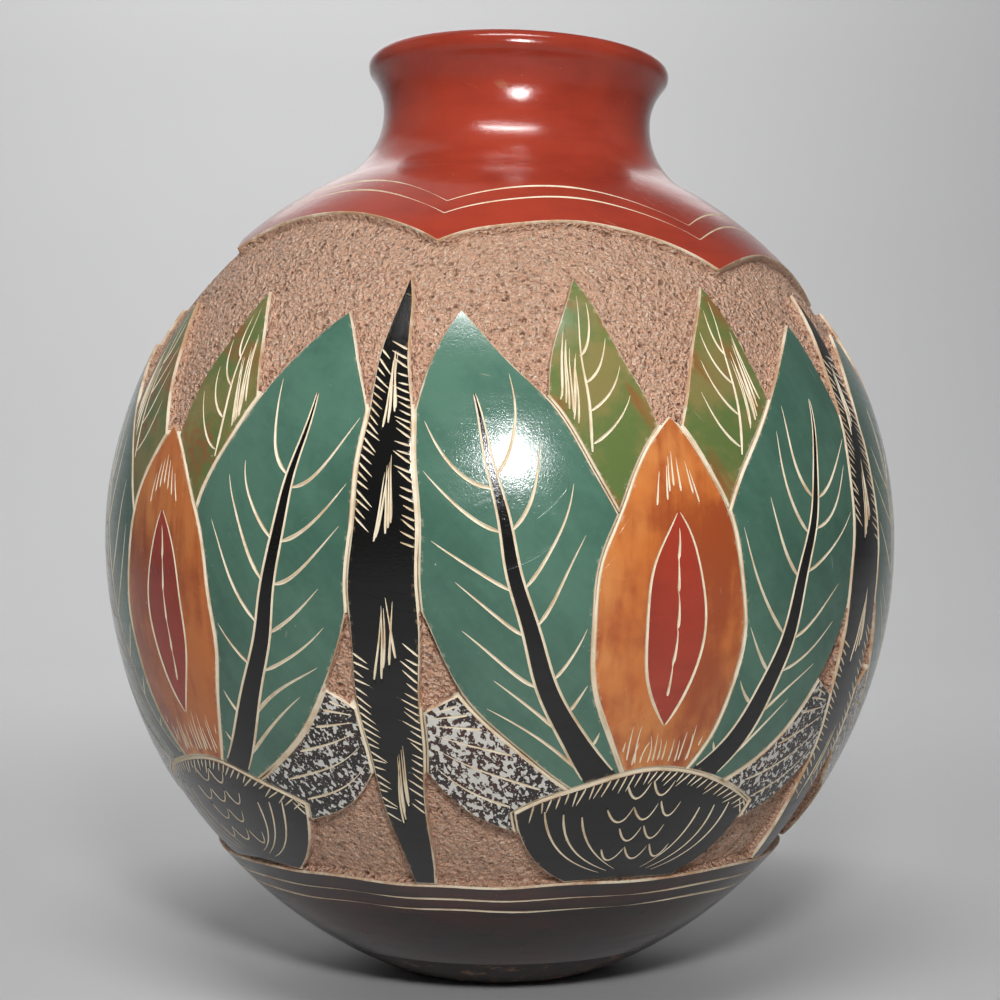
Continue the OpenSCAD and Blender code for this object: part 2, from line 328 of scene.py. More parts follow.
class Surface:
    """Outer surface of the body, and the leaning neck that sits on it."""

    def __init__(self, sizes):
        self.sizes = sizes
        self.radius = sizes.radius
        self.belly = sizes.belly
        self.round = math.tau * sizes.radius
        run = sizes.radius - sizes.base
        self.lower_r = (run**2 + sizes.belly**2) / (2 * run)
        self.lower_x = sizes.radius - self.lower_r
        self.fillet_x = sizes.throat + sizes.fillet
        fillet_reach = sizes.radius + sizes.fillet
        self.throat_h = math.sqrt(fillet_reach**2 - self.fillet_x**2)
        self.seat_h = self.throat_h * sizes.radius / fillet_reach
        self.seat_r = self.fillet_x * sizes.radius / fillet_reach
        self.bore = sizes.throat - sizes.neck_wall

    def meridian(self, arc):
        """Distance from the axis, height, and the two parts of the normal at an arc length."""
        upper = arc >= 0
        angle = np.where(upper, arc / self.radius, arc / self.lower_r)
        out, up = np.cos(angle), np.sin(angle)
        away = np.where(upper, self.radius * out, self.lower_x + self.lower_r * out)
        height = self.belly + np.where(upper, self.radius, self.lower_r) * up
        return away, height, out, up

    def arc_at(self, height):
        """Arc length at a height."""
        rise = np.asarray(height, float) - self.belly
        bend = np.where(rise >= 0, self.radius, self.lower_r)
        return bend * np.arcsin(np.clip(rise / bend, -1, 1))

    def unroll(self, outline, azimuth):
        """Sheet points of an upright outline that faces an azimuth."""
        outline = np.asarray(outline, float)
        arc = self.arc_at(outline[:, 1])
        away = self.meridian(arc)[0]
        across = azimuth + np.arcsin(np.clip(outline[:, 0] / away, -1, 1))
        return np.column_stack([across * self.radius, arc])

    def place(self, sheet, depth):
        """Points in space at a depth below the true surface."""
        away, height, out, up = self.meridian(sheet[:, 1])
        azimuth = sheet[:, 0] / self.radius
        away = away - depth * out
        height = height - depth * up
        return np.column_stack([away * np.sin(azimuth), -away * np.cos(azimuth), height])

    def wrap(self, sheet, depth=0.0):
        """Points in space at a depth below the hand-worked surface."""
        true = self.place(sheet, np.zeros(len(sheet)))
        away, height, _, _ = self.meridian(sheet[:, 1])
        below_seat = self.belly + self.seat_h - FADE_START - height
        above_foot = height - self.sizes.foot - FADE_START
        fade = np.clip(np.minimum(below_seat, above_foot) / FADE_RUN, 0, 1)
        moved = sheet.copy()
        moved[:, 0] += DRIFT * fade * sway(true, "across") * self.radius / away
        moved[:, 1] += DRIFT * fade * sway(true, "along")
        rise = fade * (UNEVEN * sway(true, "rise") - SKIN)
        return self.place(moved, depth - rise)

    def seat_ring(self, azimuth):
        """Sheet points of the circle that the neck sits on, by azimuth about the leaning axis."""
        return self.sheet_of(self.leaning(azimuth, self.seat_r, self.seat_h), azimuth)

    def leaning(self, azimuth, away, height):
        """Points in space round the leaning axis, by height above the middle of the belly."""
        across = away * np.sin(azimuth)
        lean = self.sizes.lean
        return np.column_stack(
            [
                across * math.cos(lean) + height * math.sin(lean),
                -away * np.cos(azimuth),
                self.belly - across * math.sin(lean) + height * math.cos(lean),
            ]
        )

    def sheet_of(self, points, near):
        """Sheet points of points on the upper body, each with its azimuth near a given one."""
        azimuth = np.arctan2(points[:, 0], -points[:, 1])
        azimuth += math.tau * np.round((near - azimuth) / math.tau)
        rise = (points[:, 2] - self.belly) / np.linalg.norm(points - [0, 0, self.belly], axis=1)
        return np.column_stack([azimuth * self.radius, self.radius * np.arcsin(rise)])

    def scallop(self, azimuth):
        """Arc length of the scalloped edge: each arch is cut by a plane round a leaning axis."""
        top, drop = self.sizes.scallop
        high = top - self.belly
        low = high - drop
        arch_x = math.sqrt(self.radius**2 - high**2)
        point_x = math.sqrt(self.radius**2 - low**2) * math.cos(ARCH_TURN / 2)
        rise = math.atan2(drop, arch_x - point_x)
        level = (math.cos(rise) * high - math.sin(rise) * arch_x) / self.radius
        lean = self.sizes.scallop_lean
        edge = np.full(len(azimuth), -math.inf)
        for k in range(ARCHES):
            facing = self.sizes.first_arch + k * ARCH_TURN
            across = -math.sin(rise) * math.sin(facing)
            normal_x = across * math.cos(lean) + math.cos(rise) * math.sin(lean)
            normal_z = math.cos(rise) * math.cos(lean) - across * math.sin(lean)
            out = normal_x * np.sin(azimuth) - math.sin(rise) * math.cos(facing) * np.cos(azimuth)
            across_arch = np.mod(np.arctan2(normal_z, out), math.tau)
            steep = across_arch - np.arccos(np.clip(level / np.hypot(out, normal_z), -1, 1))
            off = np.mod(azimuth - facing + math.pi, math.tau) - math.pi
            near = np.abs(off) < ARCH_REACH * ARCH_TURN
            edge = np.maximum(edge, np.where(near, steep, -math.inf))
        return self.radius * edge


# Outlines and triangles on the sheet


def resample(path, step):
    """Points at even steps along an open path."""
    run = np.concatenate([[0], np.cumsum(np.linalg.norm(np.diff(path, axis=0), axis=1))])
    count = max(FEWEST, round(run[-1] / step) + 1)
    at = np.linspace(0, run[-1], count)
    return np.column_stack([np.interp(at, run, path[:, axis]) for axis in range(2)])


def bow(start, middle, end):
    """Curve from start to end that leans towards a middle point."""
    t = np.linspace(0, 1, BOW_POINTS)[:, None]
    start, middle, end = np.array(start), np.array(middle), np.array(end)
    return (1 - t) ** 2 * start + 2 * t * (1 - t) * middle + t**2 * end


def left_of(path):
    """Unit steps to the left of an open path at each of its points."""
    ahead = np.gradient(path, axis=0)
    ahead /= np.linalg.norm(ahead, axis=1)[:, None]
    return np.column_stack([-ahead[:, 1], ahead[:, 0]])


class Leaf:
    """Outline between two points, with an arc on either side of the line from start to tip."""

    def __init__(self, start, tip, right, left):
        self.start = np.array(start)
        along = np.array(tip) - self.start
        self.chord = np.linalg.norm(along)
        self.along = along / self.chord
        self.across = np.array([self.along[1], -self.along[0]])
        self.bulge = (right, left)

    def arcs(self, margin):
        """Middle and radius of the right and left arcs, each grown by a margin."""
        found = []
        for bulge, side in zip(self.bulge, (1, -1)):
            bend = (self.chord**2 / 4 + bulge**2) / (2 * bulge)
            found.append((side * (bulge - bend), bend + margin))
        return found

    def point(self, along, across):
        """Upright points from distances along and across the line from start to tip."""
        along = np.asarray(along, float)[..., None]
        across = np.asarray(across, float)[..., None]
        return self.start + along * self.along + across * self.across

    def at(self, share, side):
        """Upright points at a share of the length, and from the left (-1) to the right (1) edge."""
        share = np.asarray(share, float)
        (right_x, right_r), (left_x, left_r) = self.arcs(0)
        off = (share - 0.5) * self.chord
        right = right_x + np.sqrt(np.maximum(right_r**2 - off**2, 0))
        left = left_x - np.sqrt(np.maximum(left_r**2 - off**2, 0))
        across = left + (right - left) * (np.asarray(side, float) + 1) / 2
        return self.point(share * self.chord, across)

    def outline(self, margin=0.0):
        """Closed outline, anticlockwise, grown by a margin."""
        (x1, r1), (x2, r2) = self.arcs(margin)
        cross = (r1**2 - r2**2 + x2**2 - x1**2) / (2 * (x2 - x1))
        half = math.sqrt(r1**2 - (cross - x1) ** 2)
        sides = []
        for middle, bend, way in ((x1, r1, 1), (x2, r2, -1)):
            reach = math.atan2(half, way * (cross - middle))
            count = max(FEWEST, round(2 * reach * bend / OUTLINE_STEP))
            angle = np.linspace(-reach, reach, count, endpoint=False)
            along = self.chord / 2 + way * bend * np.sin(angle)
            sides.append(self.point(along, middle + way * bend * np.cos(angle)))
        return np.vstack(sides)


def flip(points, side):
    """Upright points mirrored for the left side, with closed outlines kept anticlockwise."""
    return points if side == "right" else (np.asarray(points) * [-1, 1])[::-1]


def triangulate(loops, chains, loose, within=False):
    """Points, triangles and each given point's new place, with all loops and chains as edges."""
    points = []
    edges = []
    for line, closed in [(loop, True) for loop in loops] + [(chain, False) for chain in chains]:
        first = len(points)
        points.extend(line)
        edges.extend((first + i, first + i + 1) for i in range(len(line) - 1))
        if closed:
            edges.append((len(points) - 1, first))
    points.extend(loose)
    found = delaunay_2d_cdt([Vector(p) for p in points], edges, [], int(within), MERGE)
    places = {old: new for new, olds in enumerate(found[3]) for old in olds}
    return np.array([tuple(v) for v in found[0]]), np.array(found[2]), places


def inside(points, loop):
    """Which points lie inside a closed loop."""
    result = np.zeros(len(points), bool)
    near = np.flatnonzero(np.all((points >= loop.min(0)) & (points <= loop.max(0)), axis=1))
    x0, y0 = loop[:, 0], loop[:, 1]
    x1, y1 = np.roll(x0, -1), np.roll(y0, -1)
    steep = np.where(y1 == y0, 1, y1 - y0)
    for part in np.array_split(near, 1 + len(near) * len(loop) // TESTS_AT_ONCE):
        x, y = points[part, 0, None], points[part, 1, None]
        crossed = (y0 > y) != (y1 > y)
        right = x < (x1 - x0) * (y - y0) / steep + x0
        result[part] = np.sum(crossed & right, axis=1) % 2 == 1
    return result


def border(faces):
    """Longest loop of points round some triangles, with the triangles on its left."""
    edges = {(a, b) for face in faces.tolist() for a, b in zip(face, face[1:] + face[:1])}
    after = {a: b for a, b in edges if (b, a) not in edges}
    longest = []
    while after:
        loop = [min(after)]
        while loop[-1] in after:
            loop.append(after.pop(loop[-1]))
        longest = max(longest, loop[:-1], key=len)
    return longest


def even_out(loop):
    """Closed loop without its crowded points, with its corners kept."""
    before = loop - np.roll(loop, 1, axis=0)
    after = np.roll(loop, -1, axis=0) - loop
    bend = np.arctan2(
        before[:, 0] * after[:, 1] - before[:, 1] * after[:, 0], np.sum(before * after, axis=1)
    )
    corners = np.flatnonzero(np.abs(bend) > CORNER)
    kept = []
    for index, point in enumerate(loop):
        if index in corners:
            kept.append(point)
            continue
        clear = [np.linalg.norm(point - loop[corner]) for corner in corners]
        if kept:
            clear.append(np.linalg.norm(point - kept[-1]))
        if not clear or min(clear) > CROWDED * OUTLINE_STEP:
            kept.append(point)
    return np.array(kept)


def grow(loop, distance):
    """Loop moved outward by a distance, or by one distance for each point."""
    ahead = np.roll(loop, -1, axis=0) - loop
    ahead /= np.linalg.norm(ahead, axis=1)[:, None]
    out = np.column_stack([ahead[:, 1], -ahead[:, 0]])
    mean = out + np.roll(out, 1, axis=0)
    mean /= np.maximum(np.linalg.norm(mean, axis=1), SHARPEST)[:, None]
    stretch = 1 / np.maximum(np.sum(mean * out, axis=1), FURTHEST)
    return loop + mean * (stretch * distance)[:, None]


def honeycomb(low, high, step):
    """Points in staggered rows over a rectangle."""
    rows = np.arange(low[1], high[1], step * math.sqrt(3) / 2)
    columns = np.arange(low[0], high[0], step)
    x, y = np.meshgrid(columns, rows)
    x = x + (np.arange(len(rows)) % 2)[:, None] * step / 2
    return np.column_stack([x.ravel(), y.ravel()])


def tree_of(points):
    """Search tree over points on the sheet or in space."""
    tree = KDTree(len(points))
    for index, point in enumerate(points):
        tree.insert((*point, 0) if len(point) == 2 else point, index)
    tree.balance()
    return tree


def distances(points, tree):
    """Distance from each point to the nearest one in a search tree."""
    return np.array([tree.find((*p, 0) if len(p) == 2 else p)[2] for p in points])


class Plan:
    """Outline of every land on the sheet, and the azimuth and side that it is drawn for."""

    def __init__(self, sizes):
        self.sizes = sizes
        self.surface = Surface(sizes)
        self.loops = {}
        self.facing = {}
        width, height, lower, upper = sizes.calyx
        heart_tip, heart_width = sizes.heart
        stem_foot, stem_tip, stem_width = sizes.stem
        origin = (0, height)
        self.leaves = {
            "calyx": Leaf((-width / 2, height), (width / 2, height), lower, upper),
            "heart": Leaf(origin, (0, heart_tip), heart_width / 2, heart_width / 2),
            "petal": Leaf(origin, sizes.petal[:2], *sizes.petal[2:]),
            "sepal": Leaf(origin, sizes.sepal[:2], *sizes.sepal[2:]),
            "bract": Leaf(origin, sizes.bract[:2], *sizes.bract[2:]),
            "stem": Leaf((0, stem_foot), (0, stem_tip), stem_width / 2, stem_width / 2),
        }
        for k in range(1, SECTORS + 1):
            self.add_sector(k, sizes.first_turn + k * SECTOR_TURN)
        self.rims = {node: self.surface.place(loop, 0.0) for node, loop in self.loops.items()}
        steps = np.arange(0, math.tau, OUTLINE_STEP / sizes.radius)
        for node, edge in (
            ("band", np.full(len(steps), self.surface.arc_at(sizes.band))),
            ("shoulder", self.surface.scallop(steps)),
        ):
            rim = np.column_stack([steps * sizes.radius, edge])
            self.rims[node] = self.surface.place(rim, 0.0)

    def block(self, low, high):
        """Upright rectangle, anticlockwise, with points along its upright sides."""
        rise = np.linspace(low[1], high[1], BLOCK_POINTS)
        right = np.column_stack([np.full(BLOCK_POINTS, high[0]), rise])
        left = np.column_stack([np.full(BLOCK_POINTS, low[0]), rise[::-1]])
        return np.vstack([right, left])

    def add_sector(self, k, azimuth):
        """Cuts the lands of one palmette and the stem to its right."""
        sizes = self.sizes
        unroll = self.surface.unroll
        grown = {kind: leaf.outline(sizes.incision) for kind, leaf in self.leaves.items()}
        floor = sizes.band + sizes.incision
        base = self.block((-BASE_HALF, floor - BASE_DEPTH), (BASE_HALF, floor))
        stems = [unroll(grown["stem"], azimuth + way * SECTOR_TURN / 2) for way in (-1, 1)]
        common = [*stems, unroll(base, azimuth)]
        calyx, heart = unroll(grown["calyx"], azimuth), unroll(grown["heart"], azimuth)
        self.cut(f"calyx_{k}", "calyx", azimuth, "right", common)
        self.cut(f"heart_{k}", "heart", azimuth, "right", [*common, calyx])
        other = self.block((-OTHER_HALF, floor), (sizes.incision / 2, OTHER_TOP))
        for side in ("left", "right"):
            shared = [*common, calyx, heart, unroll(flip(other, side), azimuth)]
            petal = unroll(flip(grown["petal"], side), azimuth)
            self.cut(f"petal_{side}_{k}", "petal", azimuth, side, shared)
            self.cut(f"sepal_{side}_{k}", "sepal", azimuth, side, [*shared, petal])
            self.cut(f"bract_{side}_{k}", "bract", azimuth, side, [*shared, petal])
        stem_turn = azimuth + SECTOR_TURN / 2
        self.cut(f"stem_{k}", "stem", stem_turn, "right", [unroll(base, stem_turn)])

    def cut(self, node, kind, azimuth, side, cutters):
        """Keeps what the cutters leave of a leaf as the outline of a land."""
        outline = self.surface.unroll(flip(self.leaves[kind].outline(), side), azimuth)
        points, faces, _ = triangulate([outline, *cutters], [], [])
        middles = points[faces].mean(axis=1)
        kept = inside(middles, outline)
        for cutter in cutters:
            kept &= ~inside(middles, cutter)
        self.loops[node] = even_out(points[border(faces[kept])])
        self.facing[node] = (azimuth, side)


PLANS = {}


def plan_of(context):
    """Plan of the vase at the sizes of the scene, made once for each set of sizes."""
    sizes = context.scene.vase_sizes
    key = str([sizes.get(name, None) for name in sizes.bl_rna.properties.keys()])
    if key not in PLANS:
        PLANS[key] = Plan(sizes)
    return PLANS[key]


class Drawing:
    """Cut strokes and coloured zones of one land, drawn in its upright plane."""

    def __init__(self, plan, node):
        self.plan = plan
        self.azimuth, self.side = plan.facing[node]
        self.chance = random.Random(node)
        self.loop = plan.loops[node]
        self.safe = grow(self.loop, -CUT_MARGIN)
        self.strokes = []
        self.zones = []

    def sheet(self, path):
        """Sheet points of an upright path, mirrored on the left side."""
        path = np.asarray(path) * [1 if self.side == "right" else -1, 1]
        return self.plan.surface.unroll(path, self.azimuth)

    def shake(self, point, amount=0.6 * MM):
        """Point moved a little, as a hand does."""
        return (point[0] + self.chance.gauss(0, amount), point[1] + self.chance.gauss(0, amount))

    def fringe(self, width, first, last):
        """Short slanted strokes in from the edge, between two shares of the way round the land."""
        inset, every, tail = 0.25 * MM, 2, 0.5
        count = len(self.loop)
        ahead = np.roll(self.loop, -1, axis=0) - np.roll(self.loop, 1, axis=0)
        ahead /= np.linalg.norm(ahead, axis=1)[:, None]
        within = np.column_stack([-ahead[:, 1], ahead[:, 0]])
        for i in range(int(first * count), int(last * count), every):
            root = self.loop[i] + inset * within[i]
            reach = self.chance.uniform(1.8, 3.4) * MM
            slant = self.chance.uniform(0.4, 0.9) * ahead[i]
            self.add(np.array([root, root + reach * (within[i] + slant)]), width, tail, self.loop)

    def stroke(self, path, width, tail=0.7):
        """Cut stroke along an upright path, from its thick start to its thin end."""
        self.add(self.sheet(path), width, tail, self.safe)

    def add(self, path, width, tail, limit):
        """Cut stroke along a path on the sheet, as far as it stays inside a limit."""
        path = resample(path, STROKE_STEP)
        within = inside(path, limit)
        if not within.any():
            return
        start = int(np.argmax(within))
        stop = start + int(np.argmin(np.append(within[start:], False)))
        path = path[start:stop]
        if len(path) < FEWEST:
            return
        t = np.linspace(0, 1, len(path))
        half = width / 2 * np.clip(CUT_START + CUT_SWELL * t, 0, 1) * (1 - t) ** tail + CUT_LEAST
        self.strokes.append((path, half, CUT_DEPTH * half / (self.plan.sizes.vein / 2)))

    def zone(self, outline):
        """Area of a second slip inside a closed upright outline."""
        self.zones.append(self.sheet(outline))

    def chains(self):
        """Middle and side lines of every stroke."""
        lines = []
        for path, half, _ in self.strokes:
            left = left_of(path) * half[:, None]
            lines.extend([path, path + left, path - left])
        return lines

    def depth(self, points):
        """Depth of the strokes at sheet points."""
        deepest = np.zeros(len(points))
        for path, half, depth in self.strokes:
            room = half.max() + CUT_ROOM
            near = np.all((points > path.min(0) - room) & (points < path.max(0) + room), axis=1)
            spots = np.flatnonzero(near)
            if not len(spots):
                continue
            a, b = path[:-1], path[1:]
            ab = b - a
            ap = points[spots, None] - a
            t = np.clip(np.sum(ap * ab, axis=2) / np.sum(ab * ab, axis=1), 0, 1)
            off = np.linalg.norm(ap - t[..., None] * ab, axis=2)
            wide = half[:-1] + t * (half[1:] - half[:-1])
            deep = depth[:-1] + t * (depth[1:] - depth[:-1])
            cut = np.max(deep * np.clip(1 - off / wide, 0, 1), axis=1)
            deepest[spots] = np.maximum(deepest[spots], cut)
        return deepest


# Drawings on the lands: a place on a leaf is a share of its length, and a side from -1 to 1


def draw_petal(drawing, leaf, sizes):
    """Black rib with a cut line on either side, and veins that taper towards the edges."""
    foot, tip, points, thick, thin = 0.02, 0.86, 70, 2.6, 0.15
    share = np.linspace(foot, tip, points)
    lean = 0.36 - 0.40 * (share - 0.13) / 0.73
    spine = leaf.at(share, lean)
    half = (thick * (1 - (share - foot) / (tip - foot)) ** 0.8 + thin) * MM
    left = left_of(spine) * half[:, None]
    drawing.zone(np.vstack([spine - left, (spine + left)[::-1]]))
    for edge in (spine - left, spine + left):
        drawing.stroke(edge, 0.7 * sizes.vein, tail=0.25)
    veins, first, pitch, jitter, longest = 7, 0.17, 0.105, 0.02, 0.97
    for way, edge in ((1, 0.88), (-1, -0.84)):
        for i in range(veins):
            place = int((first + pitch * i + drawing.chance.uniform(-jitter, jitter)) * points)
            begin, middle = share[place], lean[place]
            root = spine[place] - way * left[place]
            long = drawing.chance.uniform(0.72, 1.0)
            bend = leaf.at(begin + 0.03, middle + 0.5 * long * (edge - middle))
            end = leaf.at(min(begin + 0.16 * long, longest), middle + long * (edge - middle))
            drawing.stroke(bow(root, drawing.shake(bend), drawing.shake(end)), sizes.vein)


def draw_sepal(drawing, leaf, sizes):
    """One long line with a few side lines, and a bundle of fine strokes that run together."""
    foot, tip, points = 0.60, 0.97, 40
    run = np.linspace(foot, tip, points)
    drawing.stroke(leaf.at(run, 0.25 - 0.5 * (run - foot)), 0.8 * sizes.vein)
    side_lines, bundle = 4, 8
    for i in range(side_lines):
        share = 0.70 + 0.055 * i
        bend = leaf.at(share + 0.02, -0.35)
        end = drawing.shake(leaf.at(share + 0.09, -0.72))
        drawing.stroke(bow(leaf.at(share, 0.15), bend, end), 0.7 * sizes.vein)
    for i in range(bundle):
        begin = drawing.shake(leaf.at(0.735 + 0.008 * i, 0.40 + 0.045 * i), 0.3 * MM)
        bend = leaf.at(0.80, 0.36 + 0.05 * i)
        end = drawing.shake(leaf.at(0.86 + 0.008 * i, 0.30 + 0.06 * i), 0.5 * MM)
        drawing.stroke(bow(begin, bend, end), sizes.hair)


def draw_heart(drawing, leaf, sizes):
    """Red flame with a cut outline, hatching over the calyx and short strokes below the tip."""
    middle, tip = sizes.calyx[1], sizes.heart[0]
    inset, bulge, points = 17 * MM, 6 * MM, 50
    flame = Leaf((0, middle + inset), (0, tip - inset), bulge, bulge)
    drawing.zone(flame.outline())
    share = np.linspace(0.01, 0.99, points)
    for side in (1, -1):
        drawing.stroke(flame.at(share, side), 0.8 * sizes.vein, tail=0.3)
    licks, hatches, tip_strokes = 5, 10, 3
    for i in range(licks):
        begin = flame.at(0.16 + 0.15 * i, 0.0)
        bend, end = begin + [0.3 * MM, 3 * MM], begin + [0, 6.5 * MM]
        drawing.stroke(bow(begin, bend, end), 0.8 * sizes.vein)
    for i in range(-hatches, hatches + 1):
        foot = middle + sizes.calyx[3] + (1.8 - 0.055 * abs(i)) * MM
        x, y = drawing.shake((1.15 * MM * i, foot), 0.35 * MM)
        tall = drawing.chance.uniform(4, 7.5) * MM
        end = (x + drawing.chance.gauss(0.5, 0.5) * MM, y + tall)
        bend = drawing.shake((x, y + tall / 2), 0.3 * MM)
        drawing.stroke(bow((x, y), bend, end), sizes.hair)
    for i in range(-tip_strokes, tip_strokes + 1):
        x, y = drawing.shake((1.5 * MM * i, tip - (12 + 1.2 * abs(i)) * MM), 0.4 * MM)
        bend, end = (0.9 * x, y + 2.5 * MM), (0.7 * x, y + 6 * MM)
        drawing.stroke(bow((x, y), bend, end), sizes.hair)


def draw_calyx(drawing, leaf, sizes):
    """Rows of round scales between long outer lines."""
    middle = sizes.calyx[1]
    outer_lines, scale_rows = 3, 4
    for way in (1, -1):
        for i in range(outer_lines):
            begin = (way * (20 - 3.5 * i) * MM, middle + (0.5 - 0.3 * i) * MM)
            bend = (way * (17 - 2.5 * i) * MM, middle - (9.5 - 0.6 * i) * MM)
            end = (way * (6 - 1.5 * i) * MM, middle - (13.2 - 0.4 * i) * MM)
            drawing.stroke(bow(begin, drawing.shake(bend), end), 0.7 * sizes.vein)
    half, rise, sag = 2.5 * MM, 1.4 * MM, 4.2 * MM
    for row in range(scale_rows):
        level = middle + (4.5 - 4.4 * row) * MM
        odd = row % 2 == 1
        for i in range(-1, 2 if odd else 1):
            across = (i + (0 if odd else 0.5)) * 5.4 * MM
            begin = drawing.shake((across - half, level + rise), 0.25 * MM)
            end = (across + half, level + rise)
            drawing.stroke(bow(begin, (across, level - sag), end), 0.65 * sizes.vein, tail=0.4)
    drawing.fringe(sizes.hair, 0.42, 0.98)


def draw_bract(drawing, leaf, sizes):
    """Long thin lines that follow the leaf."""
    lines, tip, points = 6, 0.97, 40
    for i in range(lines):
        side = -0.78 + 0.3 * i
        begin = 0.42 + drawing.chance.uniform(0, 0.1)
        run = np.linspace(begin, tip, points)
        drawing.stroke(leaf.at(run, side + 0.12 * np.sin(2.5 * (run - begin))), 0.7 * sizes.vein)


def draw_stem(drawing, leaf, sizes):
    """Runs of short strokes along the edges, and bundles of long fine ones between them."""
    bundle = 5
    for middle in (0.24, 0.46, 0.66, 0.82):
        for i in range(bundle):
            begin = drawing.shake(leaf.at(middle - 0.05 + 0.008 * i, -0.3 + 0.15 * i), 0.25 * MM)
            end = drawing.shake(leaf.at(middle + 0.045 + 0.006 * i, 0.05 + 0.04 * i), 0.3 * MM)
            drawing.stroke(bow(begin, leaf.at(middle, -0.15 + 0.1 * i), end), 1.2 * sizes.hair)
    for first, last in ((0.06, 0.20), (0.28, 0.44), (0.56, 0.70), (0.80, 0.94)):
        drawing.fringe(sizes.hair, first, last)


# Meshes of the pieces


def settle(obj, node, slot, angle):
    """Smooths a finished piece and puts it in the place of its construction node."""
    bpy.ops.object.select_all(action="DESELECT")
    obj.select_set(True)
    bpy.context.view_layer.objects.active = obj
    bpy.ops.object.shade_smooth_by_angle(angle=angle)
    obj.select_set(False)
    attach(obj, "root")
    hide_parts(node)


def add_piece(node, slot, points, faces, finishes, marks, angle, seam=False, **attributes):
    """Piece from points and faces, with a finish for each face and values at the points."""
    mesh = bpy.data.meshes.new(f"{node}_look")
    mesh.from_pydata(points.tolist(), [], faces)
    for name, values in attributes.items():
        attribute = mesh.attributes.new(name, "FLOAT", "POINT")
        attribute.data.foreach_set("value", values.astype(np.float32))
    for finish in finishes:
        mesh.materials.append(finish_of(finish))
    mesh.polygons.foreach_set("material_index", np.asarray(marks, np.int32))
    obj = bpy.data.objects.new(f"{node}_look", mesh)
    bpy.context.scene.collection.objects.link(obj)
    if seam:
        bpy.ops.object.select_all(action="DESELECT")
        bpy.context.view_layer.objects.active = obj
        bpy.ops.object.mode_set(mode="EDIT")
        bpy.ops.mesh.select_all(action="SELECT")
        bpy.ops.mesh.remove_doubles(threshold=MERGE)
        bpy.ops.object.mode_set(mode="OBJECT")
    settle(obj, node, slot, angle)


def carve(plan, node, draw, slot, finishes):
    """Raised land with its cut strokes, scraped rim and sloped edge, closed underneath."""
    surface, sizes = plan.surface, plan.sizes
    drawing = Drawing(plan, node)
    draw(drawing, plan.leaves[node.split("_")[0]], sizes)
    rim = plan.loops[node]
    scraped = grow(rim, -RIM_WIDTH)
    chains = drawing.chains()
    fixed = tree_of(np.vstack([rim, scraped, *drawing.zones, *chains]))
    loose = honeycomb(rim.min(0), rim.max(0), LAND_STEP)
    loose = loose[inside(loose, scraped)]
    loose = loose[distances(loose, fixed) > CLEAR * LAND_STEP]
    sheet, faces, _ = triangulate([rim, scraped, *drawing.zones], chains, loose)
    faces = faces[inside(sheet[faces].mean(axis=1), rim)]
    used, faces = np.unique(faces, return_inverse=True)
    sheet, faces = sheet[used], faces.reshape(-1, 3)
    middles = sheet[faces].mean(axis=1)
    marks = np.full(len(faces), SLIP)
    for zone in drawing.zones:
        marks[inside(middles, zone)] = ZONE
    marks[drawing.depth(middles) > CUT_SHOWS] = CUT
    marks[~inside(middles, scraped)] = EDGE

    ring = border(faces)
    edge = sheet[ring]
    others = tree_of(np.vstack([points for name, points in plan.rims.items() if name != node]))
    room = distances(surface.place(edge, 0.0), others)
    toe_out = np.minimum(TOE_ROOM * room, pared(surface.place(edge, 0.0)))
    open_share = np.clip((room - LINE_GAP) / (OPEN_GAP - LINE_GAP), 0, 1)
    toe_drop = TOE_DROP + (sizes.carving + TOE_SINK - TOE_DROP) * open_share
    slope = grow(edge, SLOPE_SHARE * toe_out)
    toe = grow(edge, toe_out)
    inner = honeycomb(toe.min(0), toe.max(0), HIDDEN_STEP)
    inner = inner[inside(inner, toe)]
    inner = inner[distances(inner, tree_of(toe)) > HIDDEN_CLEAR * HIDDEN_STEP]
    under, under_faces, places = triangulate([toe], [], inner)
    under_faces = under_faces[inside(under[under_faces].mean(axis=1), toe)]

    depth = drawing.depth(sheet)
    depth[ring] = RIM_DROP
    points = np.vstack(
        [
            surface.wrap(sheet, depth),
            surface.wrap(slope, RIM_DROP + SLOPE_DROP * (toe_drop - RIM_DROP)),
            surface.wrap(toe, toe_drop),
            surface.wrap(under, sizes.carving + SKIRT_SINK),
        ]
    )
    first_slope = len(sheet)
    first_toe = first_slope + len(slope)
    first_under = first_toe + len(toe)
    rows = [
        ring,
        range(first_slope, first_toe),
        range(first_toe, first_under),
        [first_under + places[i] for i in range(len(toe))],
    ]
    all_faces = faces.tolist()
    for row, below in zip(rows, rows[1:]):
        for i in range(len(ring)):
            j = (i + 1) % len(ring)
            all_faces.append([row[j], row[i], below[i], below[j]])
    all_faces.extend((under_faces[:, ::-1] + first_under).tolist())
    narrow = room < LINE_GAP
    upper = np.where(narrow, CUT, EDGE)
    lower = np.where(narrow, CUT, GROUND)
    marks = np.concatenate([marks, upper, lower, lower, np.full(len(under_faces), GROUND)])
    wear = np.zeros(len(points))
    wear[: len(sheet)] = np.clip(distances(sheet, tree_of(rim)) / WEAR_REACH, 0, 1)
    slips = [finishes[0], "cut_clay", finishes[-1], "edge_clay_and_shade", "ground"]
    add_piece(node, slot, points, all_faces, slips, marks, LAND_SMOOTH, edge=wear)


